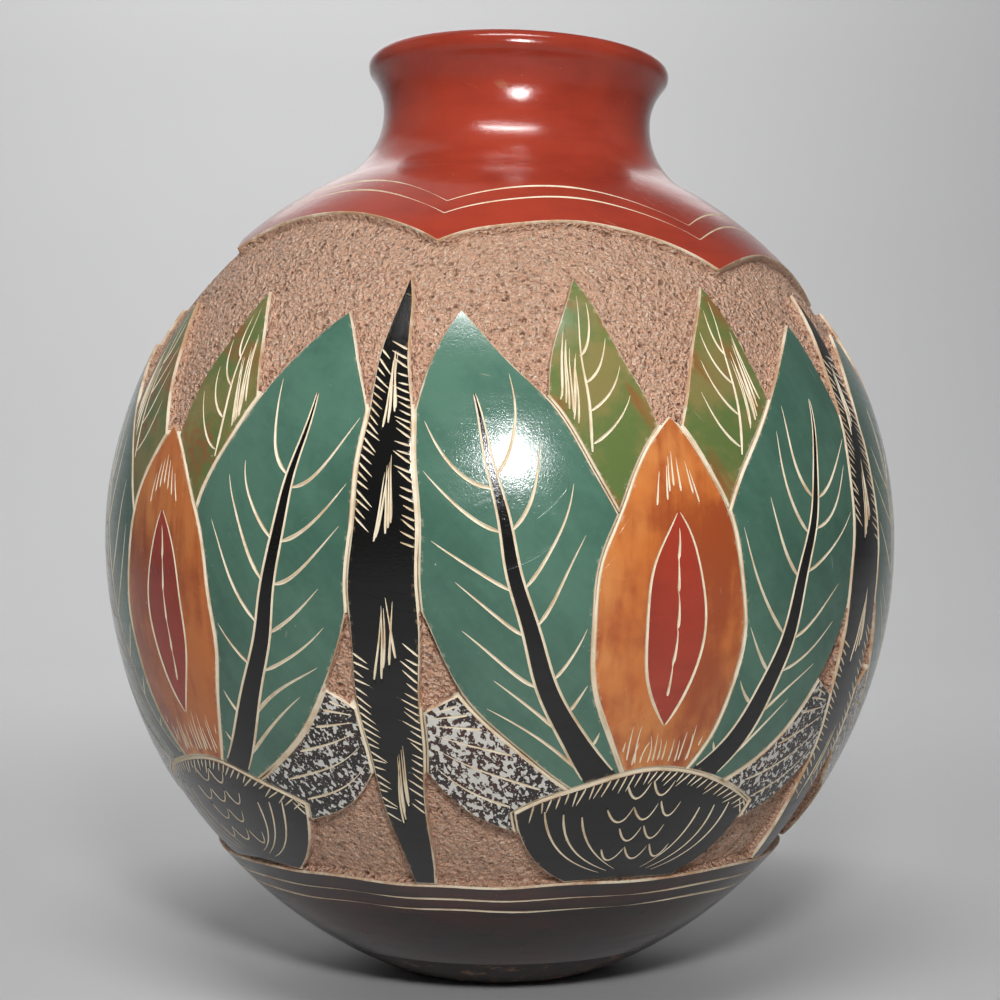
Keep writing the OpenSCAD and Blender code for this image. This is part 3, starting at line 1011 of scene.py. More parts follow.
def ring_piece(surface, node, slip, rows):
    """Ring whose rows of points go round the pot, closed from the last row to the first."""
    finishes = [slip, "cut_clay", "edge_clay_and_shade", "ground"]
    points = np.vstack([surface.wrap(sheet, depth) for sheet, depth, _ in rows])
    columns = len(rows[0][0])
    faces = []
    marks = []
    for i, (_, _, finish) in enumerate(rows):
        above = (i + 1) % len(rows) * columns
        for j in range(columns):
            k = (j + 1) % columns
            faces.append([i * columns + j, i * columns + k, above + k, above + j])
        marks.extend([finishes.index(finish)] * columns)
    wear = np.ones(len(points))
    add_piece(node, slip, points, faces, finishes, marks, LAND_SMOOTH, edge=wear)


def between(low, high, step):
    """Rows of sheet points strictly between two rows, about a step apart."""
    count = max(1, math.ceil(np.abs(high - low).max() / step))
    return [low + (high - low) * i / count for i in range(1, count)]


def cut_line(azimuth, width, seed):
    """Half width of a line cut round the pot, thick in the middle of a pull, thin at its ends."""
    pull = np.mod(azimuth / ARCH_TURN + 0.5, 1)
    wave = 0.8 + 0.2 * np.sin(azimuth * ARCHES + seed)
    swell, fade = np.clip(0.15 + 4 * pull, 0, 1), np.clip(0.12 + 2.2 * (1 - pull), 0, 1)
    return width / 2 * wave * swell * fade


def wall_piece(plan, node, slot, low, high, inner_rows):
    """Wall of the body with its punched ground outside, closed over its inner rows."""
    surface, sizes = plan.surface, plan.sizes
    around = [surface.round, 0]
    seam = resample(np.array([low[0], high[0]]), GROUND_STEP)[1:-1]
    outline = np.vstack([low, seam + around, high[::-1], seam[::-1]])
    every = 3
    shrunk = [grow(loop, -COVER_MARGIN)[::every] for loop in plan.loops.values()]
    shrunk += [loop - around for loop in shrunk]

    def covered(points):
        """Which sheet points lie well under a land, the shoulder or the band."""
        hidden = points[:, 1] > surface.scallop(points[:, 0] / surface.radius) + COVER_MARGIN
        hidden |= points[:, 1] < surface.arc_at(sizes.band) - COVER_MARGIN
        for loop in shrunk:
            hidden |= inside(points, loop)
        return hidden

    fine = honeycomb(outline.min(0), outline.max(0), GROUND_STEP)
    fine = fine[~covered(fine)]
    coarse = honeycomb(outline.min(0), outline.max(0), HIDDEN_STEP)
    coarse = coarse[covered(coarse)]
    loose = np.vstack([fine, coarse])
    loose = loose[inside(loose, outline)]
    loose = loose[distances(loose, tree_of(outline)) > CLEAR * GROUND_STEP]
    sheet, faces, places = triangulate([outline], [], loose, within=True)

    true = surface.place(sheet, 0.0)
    shown = ~covered(sheet)
    pits = np.zeros(len(sheet))
    for i in np.flatnonzero(shown):
        near, next_near = noise.voronoi(Vector(true[i] / PIT_PITCH))[0][:2]
        pits[i] = min(1, (next_near - near) / 0.5) * (1 - 0.6 * near)
    depth = sizes.carving + PIT_DEPTH * pits + LUMP * (1 + sway(true, "lumps")) * shown
    points = np.vstack([surface.wrap(sheet, depth), *inner_rows])
    columns = len(low)
    bottom = [places[i] for i in range(columns)]
    first_high = columns + len(seam)
    top = [places[i] for i in range(first_high, first_high + columns)][::-1]
    rows = [top]
    for i in range(len(inner_rows)):
        start = len(sheet) + i * columns
        rows.append(list(range(start, start + columns)))
    rows.append(bottom)
    all_faces = faces.tolist()
    for row, above in zip(rows, rows[1:]):
        for j in range(columns - 1):
            all_faces.append([row[j], row[j + 1], above[j + 1], above[j]])
    finishes = ["ground", "raw_clay"]
    marks = np.full(len(all_faces), finishes.index("raw_clay"))
    marks[: len(faces)] = finishes.index("ground")
    # The pits' depth is also kept at the points, for the painted shade in the ground's hollows
    values = np.concatenate([pits, np.zeros(len(points) - len(sheet))])
    add_piece(node, slot, points, all_faces, finishes, marks, WALL_SMOOTH, seam=True, pit=values)


def spin_piece(name, profile, columns):
    """Closed ring turned from a profile of (distance from the axis, height) by the spin tool."""
    bpy.ops.object.select_all(action="DESELECT")
    bpy.ops.mesh.primitive_circle_add(vertices=len(profile), radius=1, fill_type="NOTHING")
    obj = bpy.context.object
    obj.name = name
    obj.data.name = name
    for vertex, (away, height) in zip(obj.data.vertices, profile):
        vertex.co = (0, -away, height)
    bpy.ops.object.mode_set(mode="EDIT")
    bpy.ops.mesh.select_all(action="SELECT")
    bpy.ops.mesh.spin(steps=columns, angle=math.tau, center=(0, 0, 0), axis=(0, 0, 1))
    bpy.ops.mesh.select_all(action="SELECT")
    bpy.ops.mesh.remove_doubles(threshold=MERGE)
    bpy.ops.mesh.normals_make_consistent(inside=False)
    return obj


def arc_points(middle, bend, start, end, step):
    """Points on an arc about a middle, from one angle to another, without the last."""
    count = max(FEWEST, math.ceil(abs(end - start) * bend / step))
    angle = np.linspace(start, end, count, endpoint=False)
    return np.column_stack([middle[0] + bend * np.cos(angle), middle[1] + bend * np.sin(angle)])


# Finishes


def feed(tree, socket, value):
    """Links a socket to a wire, or sets its value."""
    if isinstance(value, Wire):
        tree.links.new(value.output, socket)
    else:
        socket.default_value = value


class Wire:
    """One output of a shader node, whose arithmetic adds Math nodes."""

    def __init__(self, tree, output):
        self.tree = tree
        self.output = output

    def node(self, kind, settings, sockets, output=0):
        """New node with its settings, then the values or links of its sockets."""
        made = self.tree.nodes.new(kind)
        for name, value in settings.items():
            setattr(made, name, value)
        for name, value in sockets.items():
            feed(self.tree, made.inputs[name], value)
        return Wire(self.tree, made.outputs[output])

    def math(self, operation, first, second):
        """Math node on two values."""
        return self.node("ShaderNodeMath", {"operation": operation}, {0: first, 1: second})

    def __add__(self, other):
        return self.math("ADD", self, other)

    def __radd__(self, other):
        return self.math("ADD", other, self)

    def __sub__(self, other):
        return self.math("SUBTRACT", self, other)

    def __rsub__(self, other):
        return self.math("SUBTRACT", other, self)

    def __mul__(self, other):
        return self.math("MULTIPLY", self, other)

    def __rmul__(self, other):
        return self.math("MULTIPLY", other, self)

    def step(self, low, high):
        """Soft step from 0 to 1 between two values."""
        sockets = {"Value": self, "From Min": low, "From Max": high}
        return self.node("ShaderNodeMapRange", {"interpolation_type": "SMOOTHSTEP"}, sockets)

    def mix(self, first, second):
        """Colour from first to second by this value."""
        return self.node("ShaderNodeMix", {"data_type": "RGBA"}, {0: self, 6: first, 7: second}, 2)

    def scaled(self, x, y, z):
        """Coordinates stretched along each axis."""
        return self.node("ShaderNodeVectorMath", {"operation": "MULTIPLY"}, {0: self, 1: (x, y, z)})

    def turned(self, x, y, z):
        """Coordinates turned by three angles in degrees."""
        angles = [math.radians(angle) for angle in (x, y, z)]
        return self.node("ShaderNodeMapping", {}, {"Vector": self, "Rotation": angles})

    def cloud(self, scale, detail=2.0, rough=0.5):
        """Soft noise over these coordinates."""
        sockets = {"Vector": self, "Scale": scale, "Detail": detail, "Roughness": rough}
        return self.node("ShaderNodeTexNoise", {}, sockets)

    def cells(self, scale, detail=0.0):
        """Distance to the nearest of scattered points, near 0 at each of them."""
        sockets = {"Vector": self, "Scale": scale, "Detail": detail}
        return self.node("ShaderNodeTexVoronoi", {}, sockets)

    def bump(self, strength, distance):
        """Normal from this height."""
        sockets = {"Height": self, "Strength": strength, "Distance": distance}
        return self.node("ShaderNodeBump", {}, sockets)

    def attribute(self, name):
        """Value that a piece holds at its points."""
        return self.node("ShaderNodeAttribute", {"attribute_name": name}, {}, 2)


def burnished(at, shade, gloss):
    """Slip rubbed to a shine: marks that run round the pot, a little dust and fine scratches."""
    rub = at.scaled(70, 70, 620).cloud(1, detail=3)
    grain = at.cloud(1700, detail=2)
    dust = at.cloud(900, detail=3).step(0.66, 0.74)
    scratch = at.turned(25, 40, 10).scaled(60, 2400, 60).cloud(1, detail=1).step(0.70, 0.74)
    rough = gloss + 0.06 * rub.step(0.35, 0.75) + 0.10 * dust + 0.10 * scratch
    height = 0.4 * rub + 0.35 * grain + 0.45 * at.cloud(3600, detail=2) - 0.25 * scratch
    clear = 0.34 - 0.10 * rub.step(0.45, 0.75) - 0.20 * dust - 0.20 * scratch
    return {
        "Base Color": shade,
        "Roughness": rough,
        "Specular IOR Level": 0.50,
        "Coat Weight": clear,
        "Coat Roughness": 0.11,
        "Coat IOR": 1.5,
        "Normal": height.bump(strength=0.52, distance=0.00013),
    }


def dull(shade, rough, height, strength, distance):
    """Clay that isn't burnished, with a grain."""
    return {"Base Color": shade, "Roughness": rough, "Normal": height.bump(strength, distance)}


def worn(at, shade, bare):
    """Slip that thins to the bare clay in places along its edges, with a few chips and scuffs."""
    edge = at.attribute("edge")
    patch = at.cloud(760, detail=4, rough=0.6)
    chip = at.cells(160).step(0.030, 0.018)
    scuff = at.turned(0, 50, 20).scaled(90, 900, 90).cloud(1, detail=2).step(0.74, 0.80)
    thin = (1 - edge.step(0.02, 0.30)) * patch.step(0.52, 0.66)
    return (0.35 * thin + 0.5 * chip + 0.18 * scuff).mix(shade, bare)


def red_slip(at, c):
    """Red slip of the neck and shoulder, clouded and streaked round the pot."""
    cloud = at.cloud(38, detail=4, rough=0.6)
    streak = at.scaled(60, 60, 300).cloud(1, detail=4)
    shade = (0.6 * cloud.step(0.42, 0.72) + 0.3 * streak.step(0.45, 0.75)).mix(c.red, c.red_deep)
    return burnished(at, worn(at, shade, c.cut_tan), gloss=0.13)


def green_slip(at, c):
    """Green slip of the petals, clouded along slanted brush marks."""
    cloud = at.cloud(30, detail=5, rough=0.6)
    brush = at.turned(0, 40, 0).scaled(160, 160, 30).cloud(1, detail=4, rough=0.6)
    fine = at.cloud(620, detail=3, rough=0.6)
    shade = (0.6 * cloud + 0.3 * brush + 0.1 * fine).step(0.36, 0.64).mix(c.green_deep, c.green)
    return burnished(at, worn(at, shade, c.cut), gloss=0.14)


def olive_slip(at, c):
    """Olive slip of the sepals, with rust in slanted bristle marks."""
    cloud = at.cloud(75, detail=4, rough=0.6)
    shade = cloud.step(0.40, 0.60).mix(c.olive, c.olive_pale)
    sweep = at.turned(0, 32, 0).scaled(150, 150, 45).cloud(1, detail=3, rough=0.5)
    bristle = at.turned(0, 32, 0).scaled(900, 900, 60).cloud(1, detail=2)
    shade = (0.8 * sweep.step(0.50, 0.64) * bristle.step(0.20, 0.65)).mix(shade, c.rust)
    return burnished(at, worn(at, shade, c.cut), gloss=0.15)


def orange_slip(at, c):
    """Orange slip of the hearts, deep in places and amber in others."""
    cloud = at.cloud(46, detail=5, rough=0.6)
    glow = at.cloud(34, detail=3).step(0.46, 0.68)
    bristle = at.scaled(420, 420, 70).cloud(1, detail=3)
    shade = (0.75 * cloud + 0.25 * bristle).step(0.38, 0.60).mix(c.orange_deep, c.orange)
    shade = (0.8 * glow * bristle.step(0.25, 0.65)).mix(shade, c.amber)
    return burnished(at, worn(at, shade, c.cut), gloss=0.15)


def black_slip(at, c):
    """Black slip of the calyxes, stems and ribs."""
    cloud = at.cloud(70, detail=4)
    shade = (0.2 * cloud.step(0.45, 0.75)).mix(c.black, c.dark)
    return burnished(at, worn(at, shade, c.cut_tan), gloss=0.12)


def speckled_slip(at, c):
    """Dark slip of the bracts, sponged with pale flecks."""
    patch = at.cloud(80, detail=3)
    blot = at.turned(0, 25, 0).scaled(1050, 1050, 720).cloud(1, detail=1, rough=0.5)
    drop = at.cloud(1900, detail=2, rough=0.6)
    sponged = (blot + 0.3 * patch).step(0.705, 0.735)
    fine = (drop + 0.2 * patch).step(0.715, 0.745)
    shade = patch.step(0.45, 0.70).mix(c.speckle_dark, c.dark_red)
    shade = (0.9 * sponged).mix(shade, c.speckle_pale)
    shade = (0.75 * fine).mix(shade, c.speckle_pale)
    return burnished(at, worn(at, shade, c.cut), gloss=0.17)


def dark_slip(at, c):
    """Dark slip of the band, with redder clouds."""
    cloud = at.scaled(40, 40, 160).cloud(1, detail=5, rough=0.6)
    shade = cloud.step(0.38, 0.70).mix(c.dark, c.dark_red)
    return burnished(at, worn(at, shade, c.cut_tan), gloss=0.18)


def foot_slip_and_shade(at, c):
    """Dark slip at the foot, rubbed through to the clay; its dark also serves as painted shade
    under the pot.
    """
    rub = at.cloud(260, detail=4, rough=0.65)
    shade = (0.6 * rub.step(0.54, 0.70)).mix(c.dark, c.clay)
    return dull(shade, 0.55, rub, strength=0.3, distance=0.0002)


def cut_clay(at, c):
    """Pale clay that a pointed tool lays bare."""
    cloud = at.cloud(180, detail=4, rough=0.6)
    grain = at.cloud(2600, detail=3)
    shade = (cloud.step(0.42, 0.72) * (0.45 + 0.55 * grain)).mix(c.cut, c.cut_tan)
    return dull(shade, 0.75, grain, strength=0.35, distance=0.0001)


def edge_clay_and_shade(at, c):
    """Pared clay at the edges of the lands, clouded towards a brown that is partly the clay's tone
    and partly painted shade on the slopes.
    """
    cloud = at.cloud(85, detail=4, rough=0.6)
    grain = at.cloud(2200, detail=3)
    shave = at.scaled(900, 900, 140).cloud(1, detail=2)
    shade = (0.8 * cloud + 0.2 * shave).step(0.38, 0.60).mix(c.cut, c.edge)
    height = grain + 0.8 * shave
    return dull(shade, 0.70, height, strength=0.4, distance=0.00015)


def ground(at, c):
    """Punched ground: painted shade in the hollows and punched dots, pink ridges, and painted
    glints on the high grains.
    """
    pit = at.attribute("pit")
    cloud = at.cloud(75, detail=4)
    chop = at.cells(1050, detail=1.5)
    grain_and_glint = at.cloud(2100, detail=3, rough=0.6)
    rough = at.cloud(420, detail=4, rough=0.7)
    punch_and_shade = at.cells(620).step(0.44, 0.14) * rough.step(0.46, 0.58)
    # The value high is lower in the pits and low grains; mixing from the pit shade colour up to the
    # ridge colour by it paints shade into the hollows
    high = chop - 0.45 * pit + 1.5 * (grain_and_glint - 0.5) + 1.7 * (rough - 0.5) + 0.6 * (cloud - 0.5)
    shade = high.step(-0.12, 0.34).mix(c.pit, c.ridge)
    # Painted highlight: glints on the highest grains
    shade = (0.9 * grain_and_glint.step(0.53, 0.63)).mix(shade, c.painted_glint)
    # Painted shade in the punched dots, which the bump below also sinks
    shade = (0.75 * punch_and_shade).mix(shade, c.pit)
    height = chop + 0.8 * grain_and_glint + 0.5 * rough - 0.5 * punch_and_shade
    return dull(shade, 0.40, height, strength=1.0, distance=0.0015)


def raw_clay(at, c):
    """Plain clay with the rings of the wheel."""
    ring = at.scaled(12, 12, 420).cloud(1, detail=3)
    cloud = at.cloud(55, detail=4)
    # The darker clouds and wheel rings mix towards the pit shade colour as a darker tone of the
    # clay itself
    shade = (0.5 * cloud.step(0.35, 0.7) + 0.3 * ring).mix(c.clay, c.pit)
    height = ring + 0.3 * at.cloud(1500, detail=2)
    return dull(shade, 0.80, height, strength=0.4, distance=0.0004)


def pale_floor(at, c):
    """Floor and backdrop."""
    cloud = at.cloud(3, detail=2)
    return {"Base Color": (0.04 * cloud).mix(c.floor, c.floor_cloud), "Roughness": 0.55}


FINISHES = {
    finish.__name__: finish
    for finish in (
        red_slip,
        green_slip,
        olive_slip,
        orange_slip,
        black_slip,
        speckled_slip,
        dark_slip,
        foot_slip_and_shade,
        cut_clay,
        edge_clay_and_shade,
        ground,
        raw_clay,
        pale_floor,
    )
}


def finish_of(name):
    """Material of a finish, made the first time that it is asked for."""
    material = bpy.data.materials.get(f"{name}_finish")
    if material is None:
        material = bpy.data.materials.new(f"{name}_finish")
        material.use_nodes = True
        tree = material.node_tree
        at = Wire(tree, tree.nodes.new("ShaderNodeTexCoord").outputs["Object"])
        shader = tree.nodes["Principled BSDF"]
        for socket, value in FINISHES[name](at, bpy.context.scene.vase_colours).items():
            feed(tree, shader.inputs[socket], value)
    return material


# Operators


class VASE_OT_foot(bpy.types.Operator):
    """Turns the foot slab"""

    bl_idname = "vase.foot"
    bl_label = "Foot"

    def execute(self, context):
        surface = plan_of(context).surface
        sizes = surface.sizes
        low, high = surface.arc_at(FOOT_CHAMFER), surface.arc_at(sizes.foot)
        away, height, _, _ = surface.meridian(np.linspace(low, high, FOOT_ROWS))
        profile = [(0, 0), (sizes.base - FOOT_INSET, 0), *zip(away, height), (0, sizes.foot)]
        obj = spin_piece("foot_look", profile, FOOT_COLUMNS)
        bpy.ops.mesh.delete_loose()
        bpy.ops.object.mode_set(mode="OBJECT")
        obj.data.materials.append(finish_of("raw_clay"))
        obj.data.materials.append(finish_of("foot_slip_and_shade"))
        # Flat faces take raw clay; the side takes the dark foot slip, which is partly painted shade
        # under the pot
        for face in obj.data.polygons:
            face.material_index = int(abs(face.normal.z) < FLAT)
        settle(obj, "foot", "clay", TURNED_SMOOTH)
        return {"FINISHED"}


class VASE_OT_walls(bpy.types.Operator):
    """Builds the two walls of the body with their punched ground"""

    bl_idname = "vase.walls"
    bl_label = "Walls"

    def execute(self, context):
        plan = plan_of(context)
        surface, sizes = plan.surface, plan.sizes
        start = sizes.first_turn + SECTOR_TURN / 2
        azimuth = start + np.linspace(0, math.tau, WALL_COLUMNS + 1)
        across = azimuth * surface.radius

        def level(arc):
            """Sheet points all round at an arc length."""
            return np.column_stack([across, np.full(len(across), arc)])

        foot_arc = surface.arc_at(sizes.foot)
        foot, belly = level(foot_arc), level(0)
        arcs = np.linspace(0, foot_arc, INNER_ROWS)
        rows = [surface.place(level(arc), sizes.wall) for arc in arcs]
        rows[-1][:, 2] = sizes.foot
        wall_piece(plan, "lower_wall", "clay", foot, belly, rows)

        seat = surface.seat_ring(azimuth)
        inner_r = surface.radius - sizes.wall
        bore_h = math.sqrt(inner_r**2 - surface.bore**2)
        mouth = surface.leaning(azimuth, surface.bore, surface.seat_h)
        throat = surface.leaning(azimuth, surface.bore, bore_h)
        inside_edge = surface.sheet_of(throat, azimuth)
        rows = [mouth]
        for share in np.linspace(0, 1, INNER_ROWS):
            rows.append(surface.place(inside_edge + (belly - inside_edge) * share, sizes.wall))
        wall_piece(plan, "upper_wall", "clay", belly, seat, rows)
        return {"FINISHED"}


class VASE_OT_neck(bpy.types.Operator):
    """Turns the neck with its fillet, flare and rolled lip, and leans it"""

    bl_idname = "vase.neck"
    bl_label = "Neck"

    def execute(self, context):
        surface = plan_of(context).surface
        sizes = surface.sizes
        fillet_middle = (surface.fillet_x, surface.throat_h)
        flare_middle = (sizes.throat + sizes.flare, surface.throat_h)
        lip_r = sizes.neck_wall / 2
        lip_reach = sizes.flare + lip_r
        lip_angle = math.acos((sizes.rim - lip_r - flare_middle[0]) / lip_reach)
        lip = (
            flare_middle[0] + lip_reach * math.cos(lip_angle),
            flare_middle[1] + lip_reach * math.sin(lip_angle),
        )
        seat_angle = math.atan2(
            surface.seat_h - surface.throat_h, surface.seat_r - surface.fillet_x
        )
        thick = sizes.flare + sizes.neck_wall
        profile = np.vstack(
            [
                arc_points(fillet_middle, sizes.fillet, seat_angle + math.tau, math.pi, NECK_STEP),
                arc_points(flare_middle, sizes.flare, math.pi, lip_angle, NECK_STEP),
                arc_points(lip, lip_r, lip_angle - math.pi, lip_angle, LIP_STEP),
                arc_points(flare_middle, thick, lip_angle, math.pi, NECK_STEP),
                [(surface.bore, surface.throat_h), (surface.bore, surface.seat_h)],
            ]
        )
        obj = spin_piece("neck_look", profile, COLUMNS)
        bpy.ops.object.mode_set(mode="OBJECT")
        points = np.array([vertex.co for vertex in obj.data.vertices])
        azimuth = np.arctan2(points[:, 0], -points[:, 1])
        away = np.hypot(points[:, 0], points[:, 1])
        leaned = surface.leaning(azimuth, away, points[:, 2])
        obj.data.vertices.foreach_set("co", leaned.ravel())
        wear = obj.data.attributes.new("edge", "FLOAT", "POINT")
        wear.data.foreach_set("value", np.ones(len(points)))
        obj.data.materials.append(finish_of("red_slip"))
        settle(obj, "neck", "red_slip", TURNED_SMOOTH)
        return {"FINISHED"}


class VASE_OT_shoulder(bpy.types.Operator):
    """Builds the red shoulder with its scalloped edge and two cut lines"""

    bl_idname = "vase.shoulder"
    bl_label = "Shoulder"

    def execute(self, context):
        plan = plan_of(context)
        surface, sizes = plan.surface, plan.sizes
        azimuth = np.arange(SHOULDER_COLUMNS) * math.tau / SHOULDER_COLUMNS
        across = azimuth * surface.radius

        def row(arcs):
            """Sheet points all round at arc lengths."""
            return np.column_stack([across, arcs])

        def plain(low, high, step):
            """Rows of plain slip between two rows."""
            return [(sheet, 0.0, "red_slip") for sheet in between(low, high, step)]

        edge = surface.scallop(azimuth)
        top = surface.seat_ring(azimuth)
        toe_out = 0.7 * pared(surface.place(row(edge), 0.0))
        rows = [
            (row(edge - toe_out), sizes.carving + SKIRT_SINK, "ground"),
            (row(edge - toe_out), sizes.carving, "ground"),
            (row(edge - SLOPE_SHARE * toe_out), SLOPE_DROP * sizes.carving, "edge_clay_and_shade"),
            (row(edge), RIM_DROP, "edge_clay_and_shade"),
            (row(edge + RIM_WIDTH), 0.0, "red_slip"),
        ]
        for seed, lift in enumerate(sizes.scallop_lines):
            line = edge + lift
            half = cut_line(azimuth - sizes.first_arch, LINE_WIDTH * sizes.vein, seed)
            rows += plain(rows[-1][0], row(line - half), 0.8 * MM)
            rows += [
                (row(line - half), 0.0, "cut_clay"),
                (row(line), CUT_DEPTH * half / half.max(), "cut_clay"),
                (row(line + half), 0.0, "red_slip"),
            ]
        rows += plain(rows[-1][0], top, 0.5 * MM)
        rows += [(top, 0.0, "red_slip"), (top, sizes.carving, "red_slip")]
        ring_piece(surface, "shoulder", "red_slip", rows)
        return {"FINISHED"}


class VASE_OT_band(bpy.types.Operator):
    """Builds the dark band above the foot with its two cut lines"""

    bl_idname = "vase.band"
    bl_label = "Band"

    def execute(self, context):
        plan = plan_of(context)
        surface, sizes = plan.surface, plan.sizes
        azimuth = np.arange(COLUMNS) * math.tau / COLUMNS

        def row(height):
            """Sheet points all round at a height."""
            arcs = np.full(len(azimuth), surface.arc_at(height))
            return np.column_stack([azimuth * surface.radius, arcs])

        def plain(low, high, step):
            """Rows of plain slip between two rows."""
            return [(sheet, 0.0, "dark_slip") for sheet in between(low, high, step)]

        up = np.array([0, 1])
        rows = [(row(sizes.foot), 0.0, "dark_slip")]
        for seed, drop in enumerate(BAND_LINES, 2):
            half = up * cut_line(azimuth, LINE_WIDTH * sizes.vein, seed)[:, None]
            line = row(sizes.band - drop)
            rows += plain(rows[-1][0], line - half, 1.0 * MM)
            rows += [
                (line - half, 0.0, "cut_clay"),
                (line, CUT_DEPTH, "cut_clay"),
                (line + half, 0.0, "dark_slip"),
            ]
        top = row(sizes.band)
        rim = top - RIM_WIDTH * up
        rows += plain(rows[-1][0], rim, 0.8 * MM)
        rows += [
            (rim, 0.0, "edge_clay_and_shade"),
            (top, RIM_DROP, "edge_clay_and_shade"),
            (top + 0.3 * sizes.incision * up, TOE_DROP, "ground"),
            (top + 0.6 * sizes.incision * up, sizes.carving + SKIRT_SINK, "ground"),
            (row(sizes.foot), sizes.carving, "ground"),
        ]
        ring_piece(surface, "band", "dark_slip", rows)
        return {"FINISHED"}


class LandOperator:
    """What the operators for the repeated lands share."""

    def execute(self, context):
        plan = plan_of(context)
        for node in plan.loops:
            if node.startswith(self.kind):
                carve(plan, node, self.cuts, self.slot, self.finishes)
        return {"FINISHED"}


class VASE_OT_calyxes(LandOperator, bpy.types.Operator):
    """Carves the five black calyxes with their scales"""

    bl_idname = "vase.calyxes"
    bl_label = "Calyxes"
    kind = "calyx"
    slot = "black_slip"
    finishes = ["black_slip"]
    cuts = staticmethod(draw_calyx)


class VASE_OT_hearts(LandOperator, bpy.types.Operator):
    """Carves the five orange hearts with their red flames"""

    bl_idname = "vase.hearts"
    bl_label = "Hearts"
    kind = "heart"
    slot = "orange_slip"
    finishes = ["orange_slip", "red_slip"]
    cuts = staticmethod(draw_heart)


class VASE_OT_petals(LandOperator, bpy.types.Operator):
    """Carves the ten green petals with their black ribs"""

    bl_idname = "vase.petals"
    bl_label = "Petals"
    kind = "petal"
    slot = "green_slip"
    finishes = ["green_slip", "black_slip"]
    cuts = staticmethod(draw_petal)


class VASE_OT_sepals(LandOperator, bpy.types.Operator):
    """Carves the ten olive sepals"""

    bl_idname = "vase.sepals"
    bl_label = "Sepals"
    kind = "sepal"
    slot = "olive_slip"
    finishes = ["olive_slip"]
    cuts = staticmethod(draw_sepal)


class VASE_OT_bracts(LandOperator, bpy.types.Operator):
    """Carves the ten speckled bracts"""

    bl_idname = "vase.bracts"
    bl_label = "Bracts"
    kind = "bract"
    slot = "speckled_slip"
    finishes = ["speckled_slip"]
    cuts = staticmethod(draw_bract)


class VASE_OT_stems(LandOperator, bpy.types.Operator):
    """Carves the five black stems"""

    bl_idname = "vase.stems"
    bl_label = "Stems"
    kind = "stem"
    slot = "black_slip"
    finishes = ["black_slip"]
    cuts = staticmethod(draw_stem)


def select_rear(floor):
    """Goes into edit mode with the floor's rear edge selected."""
    bpy.ops.object.mode_set(mode="EDIT")
    bpy.ops.mesh.select_mode(type="EDGE")
    bpy.ops.mesh.select_all(action="DESELECT")
    bpy.ops.object.mode_set(mode="OBJECT")
    for edge in floor.data.edges:
        ends = [floor.data.vertices[v].co for v in edge.vertices]
        edge.select = all(end.y > 1 and abs(end.z) < MM for end in ends)
    bpy.ops.object.mode_set(mode="EDIT")


def add_lamp(name, place, target, energy, width, height, spread):
    """Area lamp that faces a target; a spread below 180 is a grid in front of it."""
    lamp = bpy.data.lights.new(name, "AREA")
    lamp.energy = energy
    lamp.spread = math.radians(spread)
    lamp.shape = "ELLIPSE"
    lamp.size = width
    lamp.size_y = height
    obj = bpy.data.objects.new(name, lamp)
    obj.location = place
    obj.rotation_euler = (Vector(target) - Vector(place)).to_track_quat("-Z", "Y").to_euler()
    bpy.context.scene.collection.objects.link(obj)


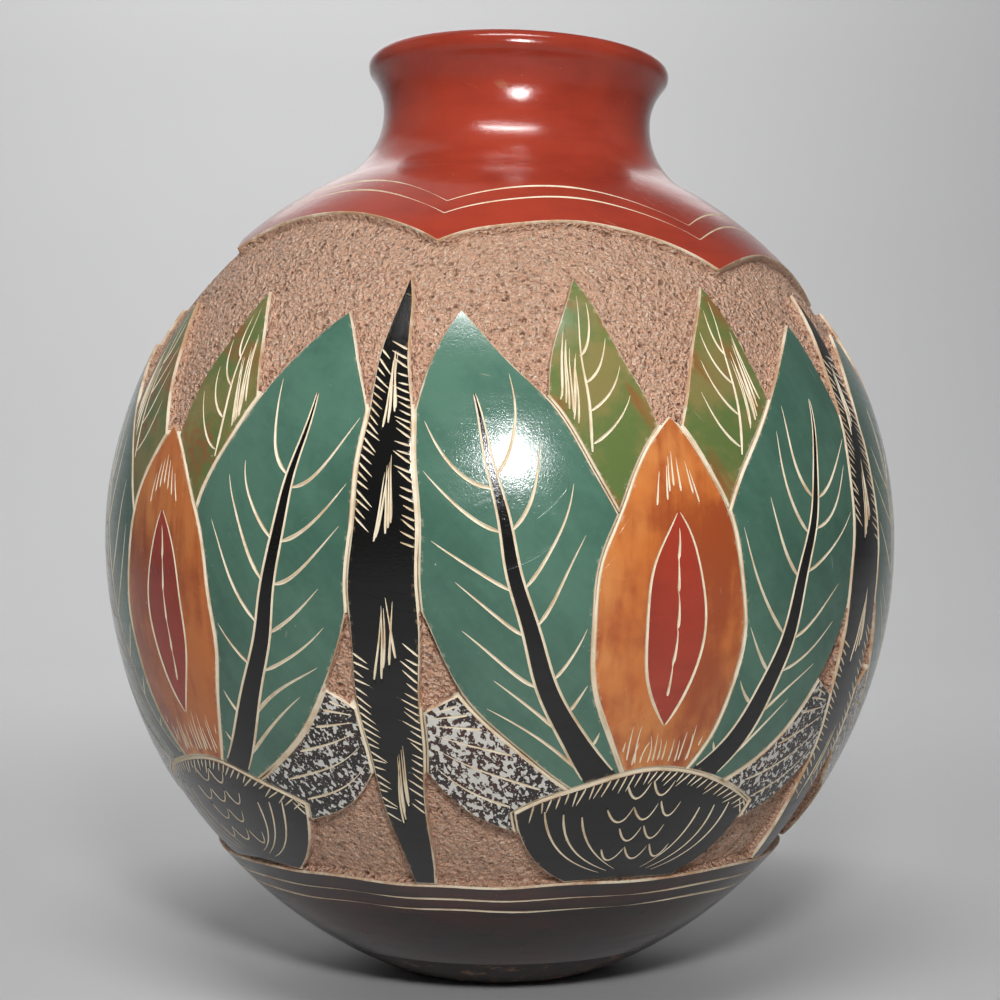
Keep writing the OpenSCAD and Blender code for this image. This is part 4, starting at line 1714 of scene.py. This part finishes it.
class VASE_OT_stage(bpy.types.Operator):
    """Adds the pale floor and backdrop, the studio lamps and the camera"""

    bl_idname = "vase.stage"
    bl_label = "Stage"

    def execute(self, context):
        scene = context.scene
        bpy.ops.object.select_all(action="DESELECT")
        bpy.ops.mesh.primitive_plane_add(size=FLOOR_SIZE, location=FLOOR_MIDDLE)
        floor = context.object
        floor.name = "floor"
        bpy.ops.object.transform_apply(location=True)
        select_rear(floor)
        bpy.ops.mesh.extrude_region_move(TRANSFORM_OT_translate={"value": (0, 0, BACKDROP_HEIGHT)})
        bpy.ops.object.mode_set(mode="OBJECT")
        select_rear(floor)
        bpy.ops.mesh.bevel(offset=COVE, segments=COVE_STEPS)
        bpy.ops.object.mode_set(mode="OBJECT")
        bpy.ops.object.shade_smooth()
        floor.data.materials.append(finish_of("pale_floor"))

        for name, settings in LAMPS.items():
            add_lamp(name, *settings)

        world = bpy.data.worlds.new("studio")
        world.use_nodes = True
        sky = world.node_tree.nodes["Background"]
        sky.inputs["Color"].default_value = SKY
        sky.inputs["Strength"].default_value = SKY_STRENGTH
        scene.world = world
        scene.view_settings.view_transform = "Standard"

        camera = bpy.data.cameras.new("camera")
        camera.sensor_width = SENSOR
        camera.lens = LENS
        camera.shift_y = SHIFT_UP
        view = bpy.data.objects.new("camera", camera)
        view.location = CAMERA_PLACE
        view.rotation_euler = (math.radians(90), 0, 0)
        scene.collection.objects.link(view)
        scene.camera = view
        return {"FINISHED"}


PIECES = (
    VASE_OT_foot,
    VASE_OT_walls,
    VASE_OT_neck,
    VASE_OT_shoulder,
    VASE_OT_band,
    VASE_OT_calyxes,
    VASE_OT_hearts,
    VASE_OT_petals,
    VASE_OT_sepals,
    VASE_OT_bracts,
    VASE_OT_stems,
    VASE_OT_stage,
)


class VASE_PT_panel(bpy.types.Panel):
    """Sizes, colours and pieces of the vase"""

    bl_label = "Carved Vase"
    bl_idname = "VASE_PT_panel"
    bl_space_type = "VIEW_3D"
    bl_region_type = "UI"
    bl_category = "Vase"

    def draw(self, context):
        for piece in PIECES:
            self.layout.operator(piece.bl_idname)
        for group in (context.scene.vase_sizes, context.scene.vase_colours):
            column = self.layout.column()
            for name in group.bl_rna.properties.keys():
                if name not in ("rna_type", "name"):
                    column.prop(group, name)


CLASSES = (VaseSizes, VaseColours, *PIECES, VASE_PT_panel)


def register():
    """Registers the classes and gives the scene its sizes and colours."""
    for cls in CLASSES:
        bpy.utils.register_class(cls)
    bpy.types.Scene.vase_sizes = bpy.props.PointerProperty(type=VaseSizes)
    bpy.types.Scene.vase_colours = bpy.props.PointerProperty(type=VaseColours)


def unregister():
    """Takes away what register adds."""
    del bpy.types.Scene.vase_sizes
    del bpy.types.Scene.vase_colours
    for cls in reversed(CLASSES):
        bpy.utils.unregister_class(cls)


def main():
    """Builds the vase piece by piece, then the stage."""
    register()
    for piece in PIECES:
        group, name = piece.bl_idname.split(".")
        getattr(getattr(bpy.ops, group), name)()


if __name__ == "__main__":
    main()
